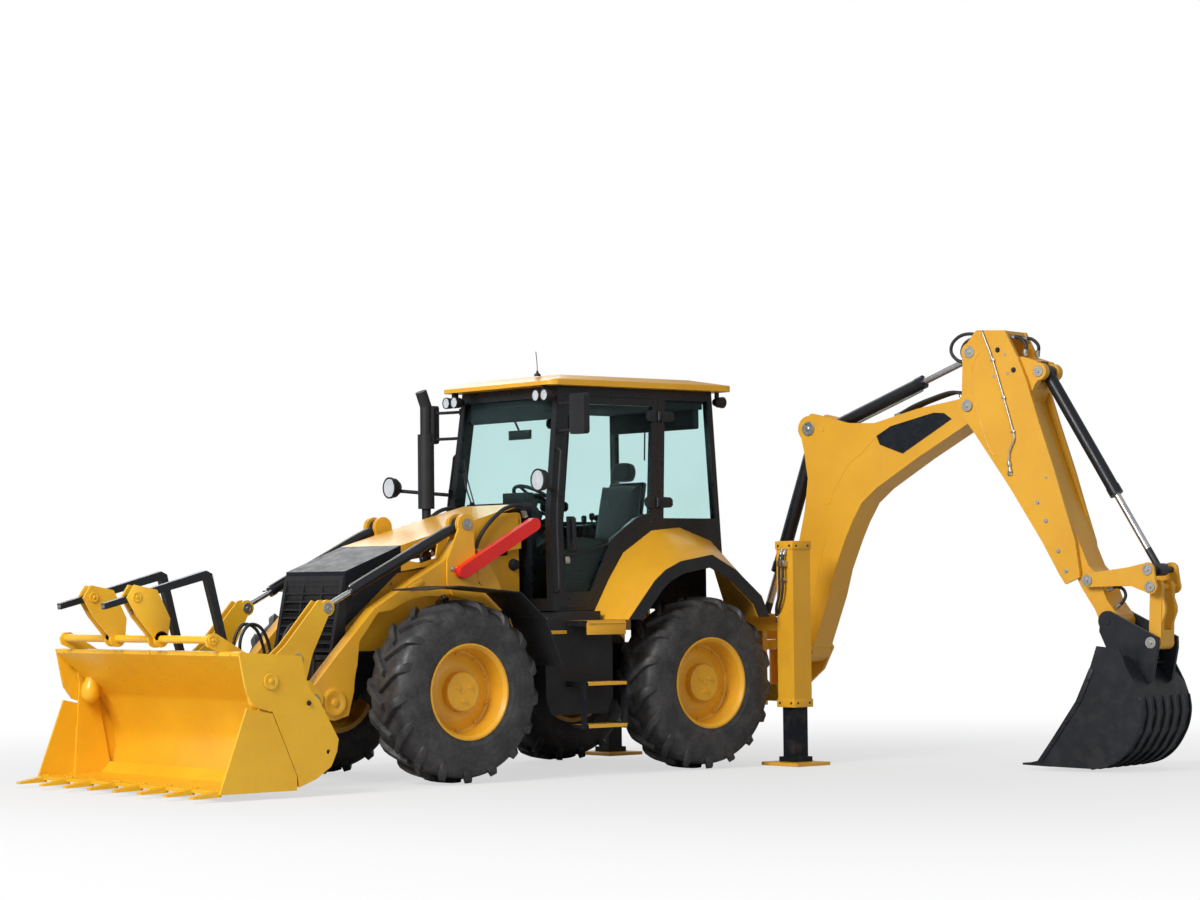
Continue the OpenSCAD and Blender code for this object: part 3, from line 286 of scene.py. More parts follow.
def fabric(name, color, deep):
    m = Nodes(name)
    threads = []
    for way in "YZ":
        wave = m.new("TexWave", wave_type="BANDS", bands_direction=way)
        wave.inputs["Scale"].default_value = THREADS
        wave.inputs["Distortion"].default_value = 1.5
        m.link(m.coord, wave.inputs["Vector"])
        threads.append(wave.outputs["Fac"])
    thread = m.math("MULTIPLY", *threads)
    m.color(m.mix(m.ramp(m.noise(20, 5), 0.35, 0.7), m.mix(thread, deep, color), deep))
    m.rough(m.ramp(m.noise(50, 3), 0.3, 0.7, 0.8, 0.95))
    m.bump(thread, 0.4, 0.001)
    m.set(Sheen_Weight=0.3)
    return m.mat


def plain(name, color, deep, rough, grain):
    """Moulded plastic or cast metal."""
    m = Nodes(name)
    m.color(m.mix(m.ramp(m.noise(6, 6), 0.35, 0.75), color, deep))
    m.rough(m.ramp(m.noise(22, 5), 0.3, 0.7, rough, rough + 0.18))
    m.bump(m.noise(grain, 3), 0.22, 0.0007)
    m.set(Specular_IOR_Level=0.3)
    return m.mat


# -------------------- camera, light and floor

# the camera as fitted to the photograph, in mm and degrees; lamps and floor are in metres
CAMERA_PLACE = (14984.7, 17986.8, 1379.9)
AZIMUTH, TILT, ROLL = (math.radians(a) for a in (39.39, 2.53, 0.61))
SENSOR, LENS, CLIP_END = 36, 91.17, 200
WHITE, SKY = (1, 1, 1, 1), (0.93, 0.96, 1, 1)
SKY_STRENGTH, GLOSSY_SHARE = 0.34, 0.22
FLOOR_HALF, FLOOR_DROP, FLOOR_TONES = 90, 0.002, (0.56, 0.62)
FADE = {"From Min": 2.0, "From Max": 11.0, "To Min": 0.62, "To Max": 1.0}
AIM = Vector((0, 0, 1.2))
LAMPS = (
    ("key", 7.0, 2150, (12.8, 3.0, 8.5)),
    ("fill", 9.0, 200, (0.5, 13.0, 6.0)),
    ("back", 9.0, 420, (-4.0, -11.0, 8.0)),
)


def camera():
    right = Vector((-math.cos(AZIMUTH), math.sin(AZIMUTH), 0))
    ahead = Vector((-math.sin(AZIMUTH), -math.cos(AZIMUTH), 0))
    down = Vector((0, 0, -1))
    look = math.cos(TILT) * ahead - math.sin(TILT) * down
    low = math.cos(TILT) * down + math.sin(TILT) * ahead
    x = math.cos(ROLL) * right + math.sin(ROLL) * low
    y = math.sin(ROLL) * right - math.cos(ROLL) * low
    cam = bpy.data.cameras.new("camera")
    obj = placed("camera", cam)
    turn = Matrix((x, y, -look)).transposed()
    obj.matrix_world = Matrix.Translation(at(*CAMERA_PLACE)) @ turn.to_4x4()
    cam.sensor_width = SENSOR
    cam.lens = LENS
    cam.clip_end = CLIP_END
    cam.dof.use_dof = False
    bpy.context.scene.camera = obj


def lamp(name, size, power, place):
    data = bpy.data.lights.new(name, "AREA")
    data.shape = "DISK"
    data.size = size
    data.energy = power
    obj = placed(name, data)
    obj.location = place
    obj.rotation_euler = (AIM - Vector(place)).to_track_quat("-Z", "Y").to_euler()


def world():
    """Soft light, white where the camera or glass looks and partly so in reflections."""
    w = bpy.data.worlds.new("studio")
    bpy.context.scene.world = w
    w.use_nodes = True
    t = Tree(w.node_tree)
    t.nt.nodes.clear()
    soft, seen = t.new("Background"), t.new("Background")
    soft.inputs["Color"].default_value = SKY
    soft.inputs["Strength"].default_value = SKY_STRENGTH
    seen.inputs["Color"].default_value = WHITE
    path = t.new("LightPath")
    glossy = t.math("MULTIPLY", path.outputs["Is Glossy Ray"], GLOSSY_SHARE)
    t.blend(t.math("MAXIMUM", t.direct(path), glossy), soft, seen, t.new("OutputWorld"))
    bpy.context.scene.view_settings.view_transform = "Standard"


def floor():
    mesh = bpy.data.meshes.new("floor")
    h = FLOOR_HALF
    mesh.from_pydata([(-h, -h, 0), (h, -h, 0), (h, h, 0), (-h, h, 0)], [], [(0, 1, 2, 3)])
    obj = placed("floor", mesh)
    obj.location.z = -FLOOR_DROP
    m = Nodes("pale_floor")
    m.set(Roughness=0.9, Specular_IOR_Level=0.1)
    grain = m.new("TexNoise")
    grain.inputs["Scale"].default_value = 3
    ramp = m.new("ValToRGB")
    for stop, tone in zip(ramp.color_ramp.elements, FLOOR_TONES):
        stop.color = (tone, tone, tone, 1)
    m.link(grain.outputs["Fac"], ramp.inputs["Fac"])
    m.color(ramp.outputs["Color"])
    glow = m.new("Emission")
    glow.inputs["Color"].default_value = WHITE
    # the floor brightens with distance, so that it meets the white ground without a line
    far = m.new("VectorMath", operation="LENGTH")
    m.link(m.coord, far.inputs[0])
    fade = m.new("MapRange", interpolation_type="SMOOTHSTEP")
    for key, value in FADE.items():
        fade.inputs[key].default_value = value
    m.link(far.outputs["Value"], fade.inputs["Value"])
    fac = m.math("MULTIPLY", m.direct(m.new("LightPath")), fade.outputs[0])
    m.blend(fac, m.out, glow, m.nt.nodes["Material Output"])
    mesh.materials.append(m.mat)


camera()
world()
floor()
for row in LAMPS:
    lamp(*row)

# -------------------- looks

YELLOW, YELLOW_DEEP = (0.80, 0.405, 0.022), (0.73, 0.355, 0.018)
BLACK = (0.0105, 0.0125, 0.0165)
CAP_BACK_X = 2365       # the hood is black ahead of this
STRAP_XS = (834, 1206)
STRAP_REACH, PAD_TOP = 0.0068, 0.027


def strap_mask(m):
    """The straps of the steps, close to two planes along X."""
    mask = None
    for x in STRAP_XS:
        far = m.math("ABSOLUTE", m.math("SUBTRACT", m.axis("X"), at(x, 0, 0).x), 0)
        near = m.math("SUBTRACT", 1.0, m.beyond(far, STRAP_REACH))
        mask = near if mask is None else m.math("MAXIMUM", mask, near)
    return mask


yellow = painted("machine_yellow", YELLOW, YELLOW_DEEP, dust=0.16)
bucket_yellow = painted("bucket_yellow", (0.81, 0.45, 0.018), (0.75, 0.39, 0.014), gloss=0.26, dust=0.08)
hood_paint = painted("hood_paint", YELLOW, YELLOW_DEEP, dust=0.16, other=BLACK,
                     mask=lambda m: m.beyond(m.axis("X"), at(CAP_BACK_X, 0, 0).x))
step_paint = painted("step_paint", YELLOW, YELLOW_DEEP, dust=0.20, other=BLACK, mask=strap_mask)
leg_paint = painted("leg_paint", YELLOW, YELLOW_DEEP, dust=0.20, other=BLACK,
                    mask=lambda m: m.beyond(m.axis("Z"), PAD_TOP))
black = painted("machine_black", BLACK, (0.008, 0.009, 0.012), dirt=(0.07, 0.062, 0.05), gloss=0.30,
                dust=0.22, coat=0.1, spec=0.3)
bucket_black = painted("digging_bucket_black", (0.012, 0.014, 0.019), (0.009, 0.010, 0.013),
                       dirt=(0.06, 0.055, 0.05), gloss=0.34, dust=0.30, coat=0.05, spec=0.3)
cab_black = painted("cab_black", (0.010, 0.013, 0.017), (0.008, 0.009, 0.012), dirt=(0.05, 0.047, 0.043),
                    gloss=0.24, dust=0.12, coat=0.1, spec=0.3)
dark_gloss = painted("band_black", (0.012, 0.015, 0.021), (0.010, 0.012, 0.016), gloss=0.20, dust=0.05,
                     coat=0.0, spec=0.25)
red = painted("strut_red", (0.80, 0.016, 0.012), (0.70, 0.012, 0.010), gloss=0.25, dust=0.06)
tyre_rubber = rubber("tyre_rubber", (0.016, 0.016, 0.018), 0.45)
hose_rubber = rubber("hose_rubber", (0.010, 0.010, 0.012), 0.15)
pane = glass("cab_pane", (0.73, 0.885, 0.875))
lamp_glass = glass("lamp_glass", (0.95, 0.96, 0.97))
zinc = steel("zinc_steel", (0.50, 0.49, 0.46), 0.30)
iron = plain("engine_iron", (0.12, 0.13, 0.14), (0.06, 0.065, 0.07), 0.45, 120)
plastic = plain("black_plastic", (0.013, 0.014, 0.016), (0.022, 0.022, 0.024), 0.45, 260)
lining = plain("cab_lining", (0.018, 0.021, 0.025), (0.026, 0.028, 0.031), 0.75, 320)
cast = plain("cast_black", (0.014, 0.014, 0.016), (0.032, 0.030, 0.027), 0.5, 90)
mirror_glass = steel("mirror_glass", (0.80, 0.82, 0.84), 0.03)
seat_cloth = fabric("seat_cloth", (0.042, 0.045, 0.050), (0.018, 0.019, 0.022))

LOOKS = {
    yellow: ["front_frame", "roof", "rear_fenders", "loader_arms", "rear_frame", "carriage",
             "swing_post", "boom", "stick", "stick_extension", "idler_links", "power_link",
             *(f"rim_{c}" for c in CORNERS)],
    hood_paint: ["hood"],
    step_paint: ["steps"],
    leg_paint: ["leg_left", "leg_right"],
    bucket_yellow: ["bucket_back", "clam_jaw"],
    black: ["frame", "lift_barrels", "tilt_barrels", "boom_barrel", "stick_barrel", "hoe_barrel", "forks"],
    bucket_black: ["hoe_bucket"],
    cab_black: ["cab_frame", "door_left", "door_right"],
    plastic: ["side_tanks", "console", "mirrors", "grille", "wheel_arches", "lamps", "exhaust"],
    cast: ["axles", *(f"knuckle_{c}" for c in CORNERS)],
    pane: ["cab_glass", "door_glass_left", "door_glass_right"],
    iron: ["engine"],
    red: ["lock_strut"],
    seat_cloth: ["cab_seat"],
    tyre_rubber: [f"tyre_{c}" for c in CORNERS],
}


def dress(name, look):
    NODES[name].data.materials.clear()
    NODES[name].data.materials.append(look)


for look, names in LOOKS.items():
    for name in names:
        dress(name, look)

# the eyes of the rods and how far their black paint reaches, in metres
RODS = {
    "lift_rods": ([at(2056, s * 404, 1385) for s in (1, -1)], 0.066),
    "tilt_rods": ([at(3120, s * TILT_Y, 1237) for s in (1, -1)], 0.060),
    "boom_rod": ([hoe(-158, 0, 1090)], 0.150),
    "stick_rod": ([hoe(1862, 0, 3085)], 0.150),
    "hoe_rod": ([hoe(3334, 0, 1443)], 0.180),
}
for name, (eyes, reach) in RODS.items():
    dress(name, rod_metal(name + "_chrome", eyes, reach))

# rounding of the CAD pieces' sharp edges, in mm; only modifiers, the meshes stay as they are
WELD = 0.00002
ROUNDING = {
    6: ["roof", "side_tanks", "hood", "mirrors"],
    4: ["boom", "stick", "stick_extension", "loader_arms", "front_frame", "rear_fenders", "rear_frame",
        "swing_post", "carriage", "forks", "lock_strut", "cab_frame", "idler_links", "power_link", "frame"],
    3: ["bucket_back", "clam_jaw", "hoe_bucket", "wheel_arches", "leg_left", "leg_right", "door_left",
        "door_right", "engine"],
}


def round_edges(obj, width, angle):
    mod = obj.modifiers.new("edges", "BEVEL")
    mod.width = width * MM
    mod.segments = 2
    mod.limit_method = "ANGLE"
    mod.angle_limit = math.radians(angle)


for width, names in ROUNDING.items():
    for name in names:
        obj = NODES[name]
        weld = obj.modifiers.new("weld", "WELD")
        weld.merge_threshold = WELD
        round_edges(obj, width, 32)
        even = obj.modifiers.new("even", "WEIGHTED_NORMAL")
        even.keep_sharp = False

# -------------------- making pieces

def ring(centre, u, v, r, sides):
    turns = (2 * math.pi * i / sides for i in range(sides))
    return [tuple(centre + (u * math.cos(k) + v * math.sin(k)) * r) for k in turns]


class Shape:
    """Collects faces, in millimetres of the part.scad frame, for one piece."""

    def __init__(self, place=at):
        self.bm = bmesh.new()
        self.place = place

    def grid(self, rows, solid=True):
        """Faces between rows of points; a solid's rows are rings, with its two ends closed."""
        made = [[self.bm.verts.new(self.place(*p)) for p in row] for row in rows]
        n = len(made[0])
        for a, b in zip(made, made[1:]):
            for i in range(n if solid else n - 1):
                j = (i + 1) % n
                self.bm.faces.new((a[i], a[j], b[j], b[i]))
        if solid:
            self.bm.faces.new(made[0][::-1])
            self.bm.faces.new(made[-1])
        return self

    def prism(self, outline, y0, y1):
        """Outline in X and Z, from y0 to y1."""
        return self.grid([[(x, y, z) for x, z in outline] for y in (y0, y1)])

    def box(self, x0, x1, y0, y1, z0, z1):
        return self.prism([(x0, z0), (x1, z0), (x1, z1), (x0, z1)], y0, y1)

    def turned(self, a, way, profile, sides=28):
        """Solid of revolution about the line from a along way: profile is (distance, radius)."""
        a, way = Vector(a), Vector(way).normalized()
        u = way.orthogonal().normalized()
        v = way.cross(u)
        return self.grid([ring(a + way * t, u, v, max(r, 0.01), sides) for t, r in profile])

    def rod(self, a, b, r, sides=20):
        way = Vector(b) - Vector(a)
        return self.turned(a, way, [(0, r), (way.length, r)], sides)

    def bolt(self, place, way, r):
        """Hexagon head on a washer."""
        self.turned(place, way, [(0, r * 1.35), (r * 0.18, r * 1.35)], 20)
        return self.turned(place, way, [(r * 0.18, r), (r * 0.7, r), (r * 0.82, r * 0.86)], 6)

    def pin_cap(self, place, way, r):
        """End of a pin: a rimmed plate with its keeper bolt."""
        self.turned(place, way, [(0, r), (5, r), (7, r - 3), (7, r * 0.66), (4, r * 0.6), (4, r * 0.3)], 32)
        return self.turned(place, way, [(4, r * 0.32), (11, r * 0.32), (13, r * 0.24)], 6)

    def pipe(self, points, r, sides=12, smooth=6):
        """Round tube along a smooth line through the points."""
        path = curve_through([Vector(p) for p in points], smooth)
        rows, side = [], None
        for i, p in enumerate(path):
            way = (path[min(i + 1, len(path) - 1)] - path[max(i - 1, 0)]).normalized()
            side = way.orthogonal() if side is None else side - way * side.dot(way)
            side.normalize()
            rows.append(ring(p, side, way.cross(side), r, sides))
        return self.grid(rows)

    def mesh(self, name):
        bmesh.ops.recalc_face_normals(self.bm, faces=self.bm.faces)
        mesh = bpy.data.meshes.new(name)
        self.bm.to_mesh(mesh)
        self.bm.free()
        return mesh

    def piece(self, name, body, look, bevel=0.0, angle=32, slot=None):
        """One piece of the scene riding a body; bevel in mm, angle of its sharp edges in degrees."""
        obj = placed(name, self.mesh(name))
        if bevel:
            soften(obj, bevel)
        obj.data.shade_smooth()
        obj.data.set_sharp_from_angle(angle=math.radians(angle))
        obj.data.materials.append(look)
        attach(obj, body)
        return obj


def soften(obj, width):
    """Rounds a piece's sharp edges, with the modifier applied."""
    round_edges(obj, width, 35)
    graph = bpy.context.evaluated_depsgraph_get()
    mesh = bpy.data.meshes.new_from_object(obj.evaluated_get(graph))
    obj.modifiers.clear()
    old, obj.data = obj.data, mesh
    bpy.data.meshes.remove(old)


def curve_through(points, steps):
    """Catmull-Rom line through the points."""
    if steps < 2 or len(points) < 3:
        return points
    ends = [2 * points[0] - points[1]] + points + [2 * points[-1] - points[-2]]
    line = []
    for i in range(1, len(ends) - 2):
        a, b, c, d = ends[i - 1:i + 3]
        for k in range(steps):
            t = k / steps
            line.append(0.5 * ((2 * b) + (c - a) * t + (2 * a - 5 * b + 4 * c - d) * t * t
                               + (3 * b - a - 3 * c + d) * t ** 3))
    return line + [points[-1]]


def hosed(name, body, runs, r=13, place=at):
    """Hoses on one body, each run a list of points, with a crimped steel end at both of its ends."""
    rubber_part, ends = Shape(place), Shape(place)
    for run in runs:
        rubber_part.pipe(run, r)
        for a, b in ((run[0], run[1]), (run[-1], run[-2])):
            way = Vector(b) - Vector(a)
            ends.turned(a, way, [(-4, r * 0.7), (10, r * 0.7), (10, r * 1.3), (14, r * 1.35), (44, r * 1.35),
                                 (48, r)], 16)
            ends.turned(a, way, [(-2, r * 1.5), (12, r * 1.5)], 6)
    rubber_part.piece(name, body, hose_rubber)
    ends.piece(name + "_ends", body, zinc)


# -------------------- tyres

TYRE_R, TYRE_HALF, RIM_R, LUG, LUGS = 640, 210, 338, 32, 17


def carcass():
    """Outer half of the tyre's section from its middle to the bead: (radius, distance across)."""
    r = TYRE_R - LUG
    points = [(r, 0), (r - 1, 60), (r - 5, 120), (r - 16, 162), (r - 46, 192), (r - 90, 204),
              (RIM_R + 130, 207), (RIM_R + 90, 206), (RIM_R + 55, 202), (RIM_R + 30, 197),
              (RIM_R + 12, 192), (RIM_R + 1, 189)]
    return [(p.x, p.y) for p in curve_through([Vector((a, b, 0)) for a, b in points], 3)]


def across(line, s):
    """Point and outward normal at a distance s along the section."""
    for (r0, w0), (r1, w1) in zip(line, line[1:]):
        d = math.hypot(r1 - r0, w1 - w0)
        if s <= d:
            break
        s -= d
    k = min(s / d, 1)
    return Vector((r0 + (r1 - r0) * k, w0 + (w1 - w0) * k)), Vector((w1 - w0, r0 - r1)).normalized()


# along the section from the middle: distance, how far round the lug has swung, half width, height
LUG_STATIONS = [
    (-14, -16, 20, 29), (8, 2, 25, 32), (40, 27, 27, 32), (80, 62, 29, 33), (120, 97, 31, 35),
    (150, 123, 32, 35), (172, 138, 33, 28), (190, 149, 32, 19), (208, 157, 30, 10), (228, 163, 25, 2.5),
]


RING, RING_PLACES = 2.4, ((36, 48), (128, 142))


def tyre_mesh(flip):
    """A tyre about the Y axis, with its lugs and the rings of its sidewalls."""
    line = carcass()
    section = [(r, -w) for r, w in reversed(line)] + line[1:]
    shape = Shape(lambda x, y, z: Vector((x, y, z)) * MM)
    rounds, pitch = 120, 2 * math.pi / LUGS
    rows = []
    for i in range(rounds + 1):
        a = 2 * math.pi * i / rounds
        row = []
        for r, w in section:
            raised = RING if any(RIM_R + a0 < r < RIM_R + a1 for a0, a1 in RING_PLACES) else 0
            row.append((r * math.cos(a), w + math.copysign(raised, w), r * math.sin(a)))
        rows.append(row)
    shape.grid(rows, False)
    bmesh.ops.remove_doubles(shape.bm, verts=shape.bm.verts, dist=1e-5)
    for side in (1, -1):
        for n in range(LUGS):
            turn = pitch * (n + 0.2 + (0 if side == flip else 0.5))
            low, high = [], []
            for s, u, w, h in LUG_STATIONS:
                if s < 0:
                    base, normal = Vector((TYRE_R - LUG, s)), Vector((1, 0))
                else:
                    base, normal = across(line, s)
                for grow, lift in ((7, -6), (5, 2), (0, h * 0.7), (-2.5, h * 0.96), (-6, h)):
                    p = base + normal * lift
                    p.x = min(p.x, TYRE_R)
                    p.y = max(min(p.y, TYRE_HALF), -TYRE_HALF)
                    for q, half in ((-1, low), (1, high)):
                        a = turn + (u + q * (w + grow)) / (TYRE_R - LUG)
                        half.append((p.x * math.cos(a), side * p.y, p.x * math.sin(a)))
            shape.grid([low[i:i + 5] + high[i:i + 5][::-1] for i in range(0, len(low), 5)])
    mesh = shape.mesh("tyre")
    mesh.shade_smooth()
    mesh.set_sharp_from_angle(angle=math.radians(40))
    mesh.materials.append(tyre_rubber)
    return mesh


TYRES = {s: tyre_mesh(s) for _, s in SIDES}
for end, x, side, s in WHEELS:
    name = f"{end}_{side}"
    tread = placed(f"tread_{name}", TYRES[s].copy())
    tread.data.transform(Matrix.Translation(at(x, s * WHEEL_Y, AXLE_Z)))
    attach(tread, f"wheel_{name}")
    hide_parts(f"tyre_{name}")
    nuts = Shape()
    for i in range(10):
        a = 2 * math.pi * (i + 0.5) / 10
        u, w = NUT_CIRCLE * math.cos(a), NUT_CIRCLE * math.sin(a)
        nuts.bolt((x + u, s * NUT_Y, AXLE_Z + w), (0, s, 0), 14)
    nuts.turned((x, s * HUB_Y, AXLE_Z), (0, s, 0), [(0, 16), (3, 16), (5, 9)], 6)
    nuts.piece(f"wheel_nuts_{name}", f"wheel_{name}", yellow)
    valve = Shape().pipe([(x + 268, s * 858, AXLE_Z + 60), (x + 274, s * 890, AXLE_Z + 62),
                          (x + 276, s * 915, AXLE_Z + 62)], 5)
    valve.piece(f"valve_{name}", f"wheel_{name}", zinc)

# -------------------- pins and bolts

# caps on the ends of pins: body, place function, (x, y, z) of the face, radius, way, look
CAPS = [
    ("chassis", at, (1940, 596, 1820), 42, 1, zinc),
    ("bucket", at, (3254, 592, 610), 38, 1, zinc),
    ("bucket", at, (3120, 558, 1237), 38, 1, zinc),
    ("bucket", at, (3120, 462, 1237), 38, -1, zinc),
    ("bucket", at, (3370, 558, 892), 38, 1, zinc),
    ("bucket", at, (4016, BUCKET_END_Y, 770), 56, 1, bucket_yellow),
    ("bucket", at, (4310, 970, 1043), 34, 1, bucket_yellow),
    ("bucket", at, (4500, 332, 1329), 36, 1, bucket_yellow),
    ("bucket", at, (4500, 236, 1329), 36, -1, bucket_yellow),
    ("loader_arms", at, (3075, 572, 583), 90, 1, yellow),
    ("swing_post", hoe, (265, 167, 870), 52, 1, zinc),
    ("boom", hoe, (370, 130, 2573), 56, 1, zinc),
    ("stick", hoe, (1840, 169, 2685), 44, 1, zinc),
    ("stick", hoe, (1862, STICK_Y, 3085), 44, 1, zinc),
    ("stick_extension", hoe, (2430, 125, 2914), 40, 1, zinc),
    ("stick_extension", hoe, (2844, 191, 1371), 42, 1, zinc),
    ("idler_links", hoe, (3334, 189, 1443), 40, 1, zinc),
    ("idler_links", hoe, (3353, 191, 1322), 40, 1, zinc),
    ("hoe_bucket", hoe, (3335, 161, 920), 42, 1, zinc),
]
caps = {}
for body, place, (x, y, z), r, out, look in CAPS:
    shape = caps.setdefault((body, look), Shape(place))
    for _, s in SIDES:
        shape.pin_cap((x, s * y, z), (0, s * out, 0), r)
for (body, look), shape in caps.items():
    shape.piece(f"pin_caps_{body}_{look.name}", body, look)

# bolt heads: name, body, look, place function, radius, direction, places; a direction with a Y
# is mirrored with its place
BOLTS = [
    ("jaw_edge_bolts", "clam", bucket_yellow, at, 15, (0, 0, 1),
     [(4362, -1143 + i * 326.6 + d, 70) for i in range(8) for d in (-22, 22)]),
    ("stick_bolts", "stick", zinc, hoe, 13, (0, 1, 0),
     both(*((x, STICK_Y, z) for x, z in ((2427, 1946), (2495, 1809), (2596, 1587), (2655, 1441))))),
    ("stick_head_bolts", "stick", cast, hoe, 15, (0, 1, 0),
     both((2108, STICK_Y, 3088), (2242, STICK_Y, 2932))),
    ("stick_small_bolts", "stick", zinc, hoe, 8, (0, 1, 0),
     both(*((x, STICK_Y, z) for x, z in ((2171, 3047), (2190, 2908), (2069, 2892), (2502, 2128))))),
    ("deck_bolts", "chassis", zinc, at, 8, (0, 1, 0),
     both(*((x, 1032, 1100) for x in (880, 950, 1090, 1160)))),
    ("column_bolts", "chassis", cast, at, 12, (1, 0, 0),
     both(*((-675, COLUMN_Y + d, z) for d in (-62, 62) for z in (470, 1655)))),
    ("column_side_bolts", "chassis", cast, at, 11, (0, 1, 0),
     both(*((x, 1189, z) for x in (-825, -705) for z in (470, 1655)))),
    ("tower_bolts", "chassis", zinc, at, 15, (0, 1, 0),
     both((1490, 590, 990), (1490, 590, 830), (2070, 590, 1500))),
    ("side_plate_holes", "bucket", cast, at, 13, (0, 1, 0), both((3718, BUCKET_END_Y, 617))),
    ("bucket_plate_bolts", "bucket", bucket_yellow, at, 13, (1, 0, 0.08),
     [(4257, y, 945) for y in (-1085, 80, 1085)]),
    ("fork_plate_bolts", "bucket", zinc, at, 11, (0, 1, 0),
     both((4380, 262, 1330), (4500, 262, 1230))),
    ("post_bolts", "swing_post", zinc, hoe, 14, (0, 1, 0), both((-170, 161, 1010))),
    ("side_panel_bolts", "chassis", zinc, at, 9, (0, 1, 0),
     both(*((x, SIDE_PANEL_Y, z) for x, z in ((1310, 1880), (2760, 960), (2760, 1120), (2420, 1400))))),
]
for name, body, look, place, r, way, places in BOLTS:
    heads = Shape(place)
    for x, y, z in places:
        heads.bolt((x, y, z), (way[0], math.copysign(way[1], y) if way[1] else 0, way[2]), r)
    heads.piece(name, body, look)

# -------------------- front end

NOSE_LOW, NOSE_HIGH = (2971, 870), (2856, 1460)
MESH_BACK, WIRE = 26, 2.2


def mesh_x(z):
    """The wire mesh stands behind the grille's sloping face."""
    (x0, z0), (x1, z1) = NOSE_LOW, NOSE_HIGH
    return x0 - MESH_BACK + (z - z0) * (x1 - x0) / (z1 - z0)


mesh_wires = Shape()
for i in range(25):
    y = -324 + i * 27
    mesh_wires.rod((mesh_x(912), y, 912), (mesh_x(1418), y, 1418), WIRE, 6)
for i in range(19):
    z = 918 + i * 27.5
    mesh_wires.rod((mesh_x(z), -330, z), (mesh_x(z), 330, z), WIRE, 6)
mesh_wires.piece("grille_mesh", "hood", plastic)

CAP_X, CAP_Z, CAP_GRIP_R = 1322, 1530, 36
HOOD_HOSES = (
    [(2240, 345, 1510), (2300, 349, 1600), (2230, 351, 1680), (2130, 349, 1690), (2060, 343, 1600)],
    [(2130, 339, 1500), (2170, 344, 1590), (2100, 348, 1660), (2010, 344, 1640), (1980, 338, 1560)],
)
TOWER_HOSE = [(1262, 404, 1880), (1290, 404, 1950), (1360, 404, 1962), (1470, 404, 1930), (1600, 404, 1830),
              (1690, 404, 1720), (1740, 404, 1600)]
for side, s in SIDES:
    cap = Shape().turned((CAP_X, s * SIDE_PANEL_Y, CAP_Z), (0, s, 0),
                         [(0, 44), (10, 44), (14, 38), (30, 38), (34, 34)], 36)
    for i in range(8):
        x = CAP_X + CAP_GRIP_R * math.cos(i * math.pi / 4)
        z = CAP_Z + CAP_GRIP_R * math.sin(i * math.pi / 4)
        cap.box(x - 5, x + 5, s * 340, s * 358, z - 5, z + 5)
    cap.piece(f"filler_cap_{side}", "chassis", plastic, 1.5)
    hosed(f"hood_hoses_{side}", "chassis", [mirrored(run, s) for run in HOOD_HOSES], 11)
    hosed(f"tower_hose_{side}", "chassis", [mirrored(TOWER_HOSE, s)], 15)
    # strip along the tank, and the apron under the deck's edge
    strip = Shape().box(1210, 1395, s * 798, s * 812, 1024, 1050)
    strip.box(838, 1202, s * 1028, s * 1034, 1018, 1100)
    strip.piece(f"deck_apron_{side}", "chassis", yellow, 1.5)

# tilt cylinders carry a steel oil line each; the loader's cross tube carries hoses to the clam
lines = Shape()
for _, s in SIDES:
    lines.pipe([(x, s * TILT_Y, z) for x, z in ((2032, 1808), (2140, 1764), (2500, 1587), (2870, 1405),
                                               (2900, 1380))], 8)
lines.piece("tilt_oil_lines", "tilt_barrels", zinc)
hosed("clam_hoses", "loader_arms", [
    [(3072, y, 676), (3060, y, 900), (3140, y + 20, 1080), (3260, y + 30, 1120), (3330, y + 20, 1000),
     (3290, y, 800), (3166, y, 610)]
    for y in (-330, -250, 290)
], 12)
patches = Shape()
for _, s in SIDES:
    patches.prism([(2300, 1400), (2420, 1345), (2440, 1375), (2320, 1430)], s * 563.5, s * 570)
patches.piece("arm_patch_plates", "loader_arms", yellow, 1.5)

# guards over the clam's cylinders, inside the bucket
guard = Shape()
for _, s in SIDES:
    guard.turned((4010, s * 1088, 838), (0.16, 0, -1),
                 [(0, 8), (6, 34), (40, 40), (70, 38), (100, 48), (150, 66), (195, 70), (232, 58), (258, 34),
                  (266, 8)], 36)
    guard.turned((4030, s * 1030, 770), (0, s, 0), [(0, 20), (6, 30), (128, 30)], 24)
    for d in (-26, 26):
        guard.turned((4006 + d, s * 1088, 820), (0.05 * d, 0, 1), [(0, 17), (34, 17), (42, 12), (44, 4)], 20)
guard.piece("cylinder_guards", "bucket", bucket_yellow, 0, 50)
tips = Shape()
for _, s in SIDES:
    tips.box(4733.5, 4737.5, s * 273, s * 313, 1256, 1280)
    for x, z in ((3676, 628), (3898, 1462)):
        tips.box(x - 5, x + 5, s * 318, s * 320, z - 8, z + 8)
tips.piece("fork_ends", "forks", zinc, 0.8)
# outer plates of the fork brackets: the tines hang between them and the inner ones
plates = Shape()
for _, s in SIDES:
    plates.prism([(4355, 1035), (4495, 1195), (4575, 1323), (4517, 1410), (4341, 1375), (4240, 1180),
                  (4262, 1035)], s * 318, s * 332)
    plates.turned((4310, s * 318, 1043), (0, s, 0), [(0, 56), (14, 56)], 32)
plates.piece("fork_outer_plates", "bucket", bucket_yellow, 2)

# -------------------- lamps and mirrors

lens, bowl, rings = Shape(), Shape(), Shape()
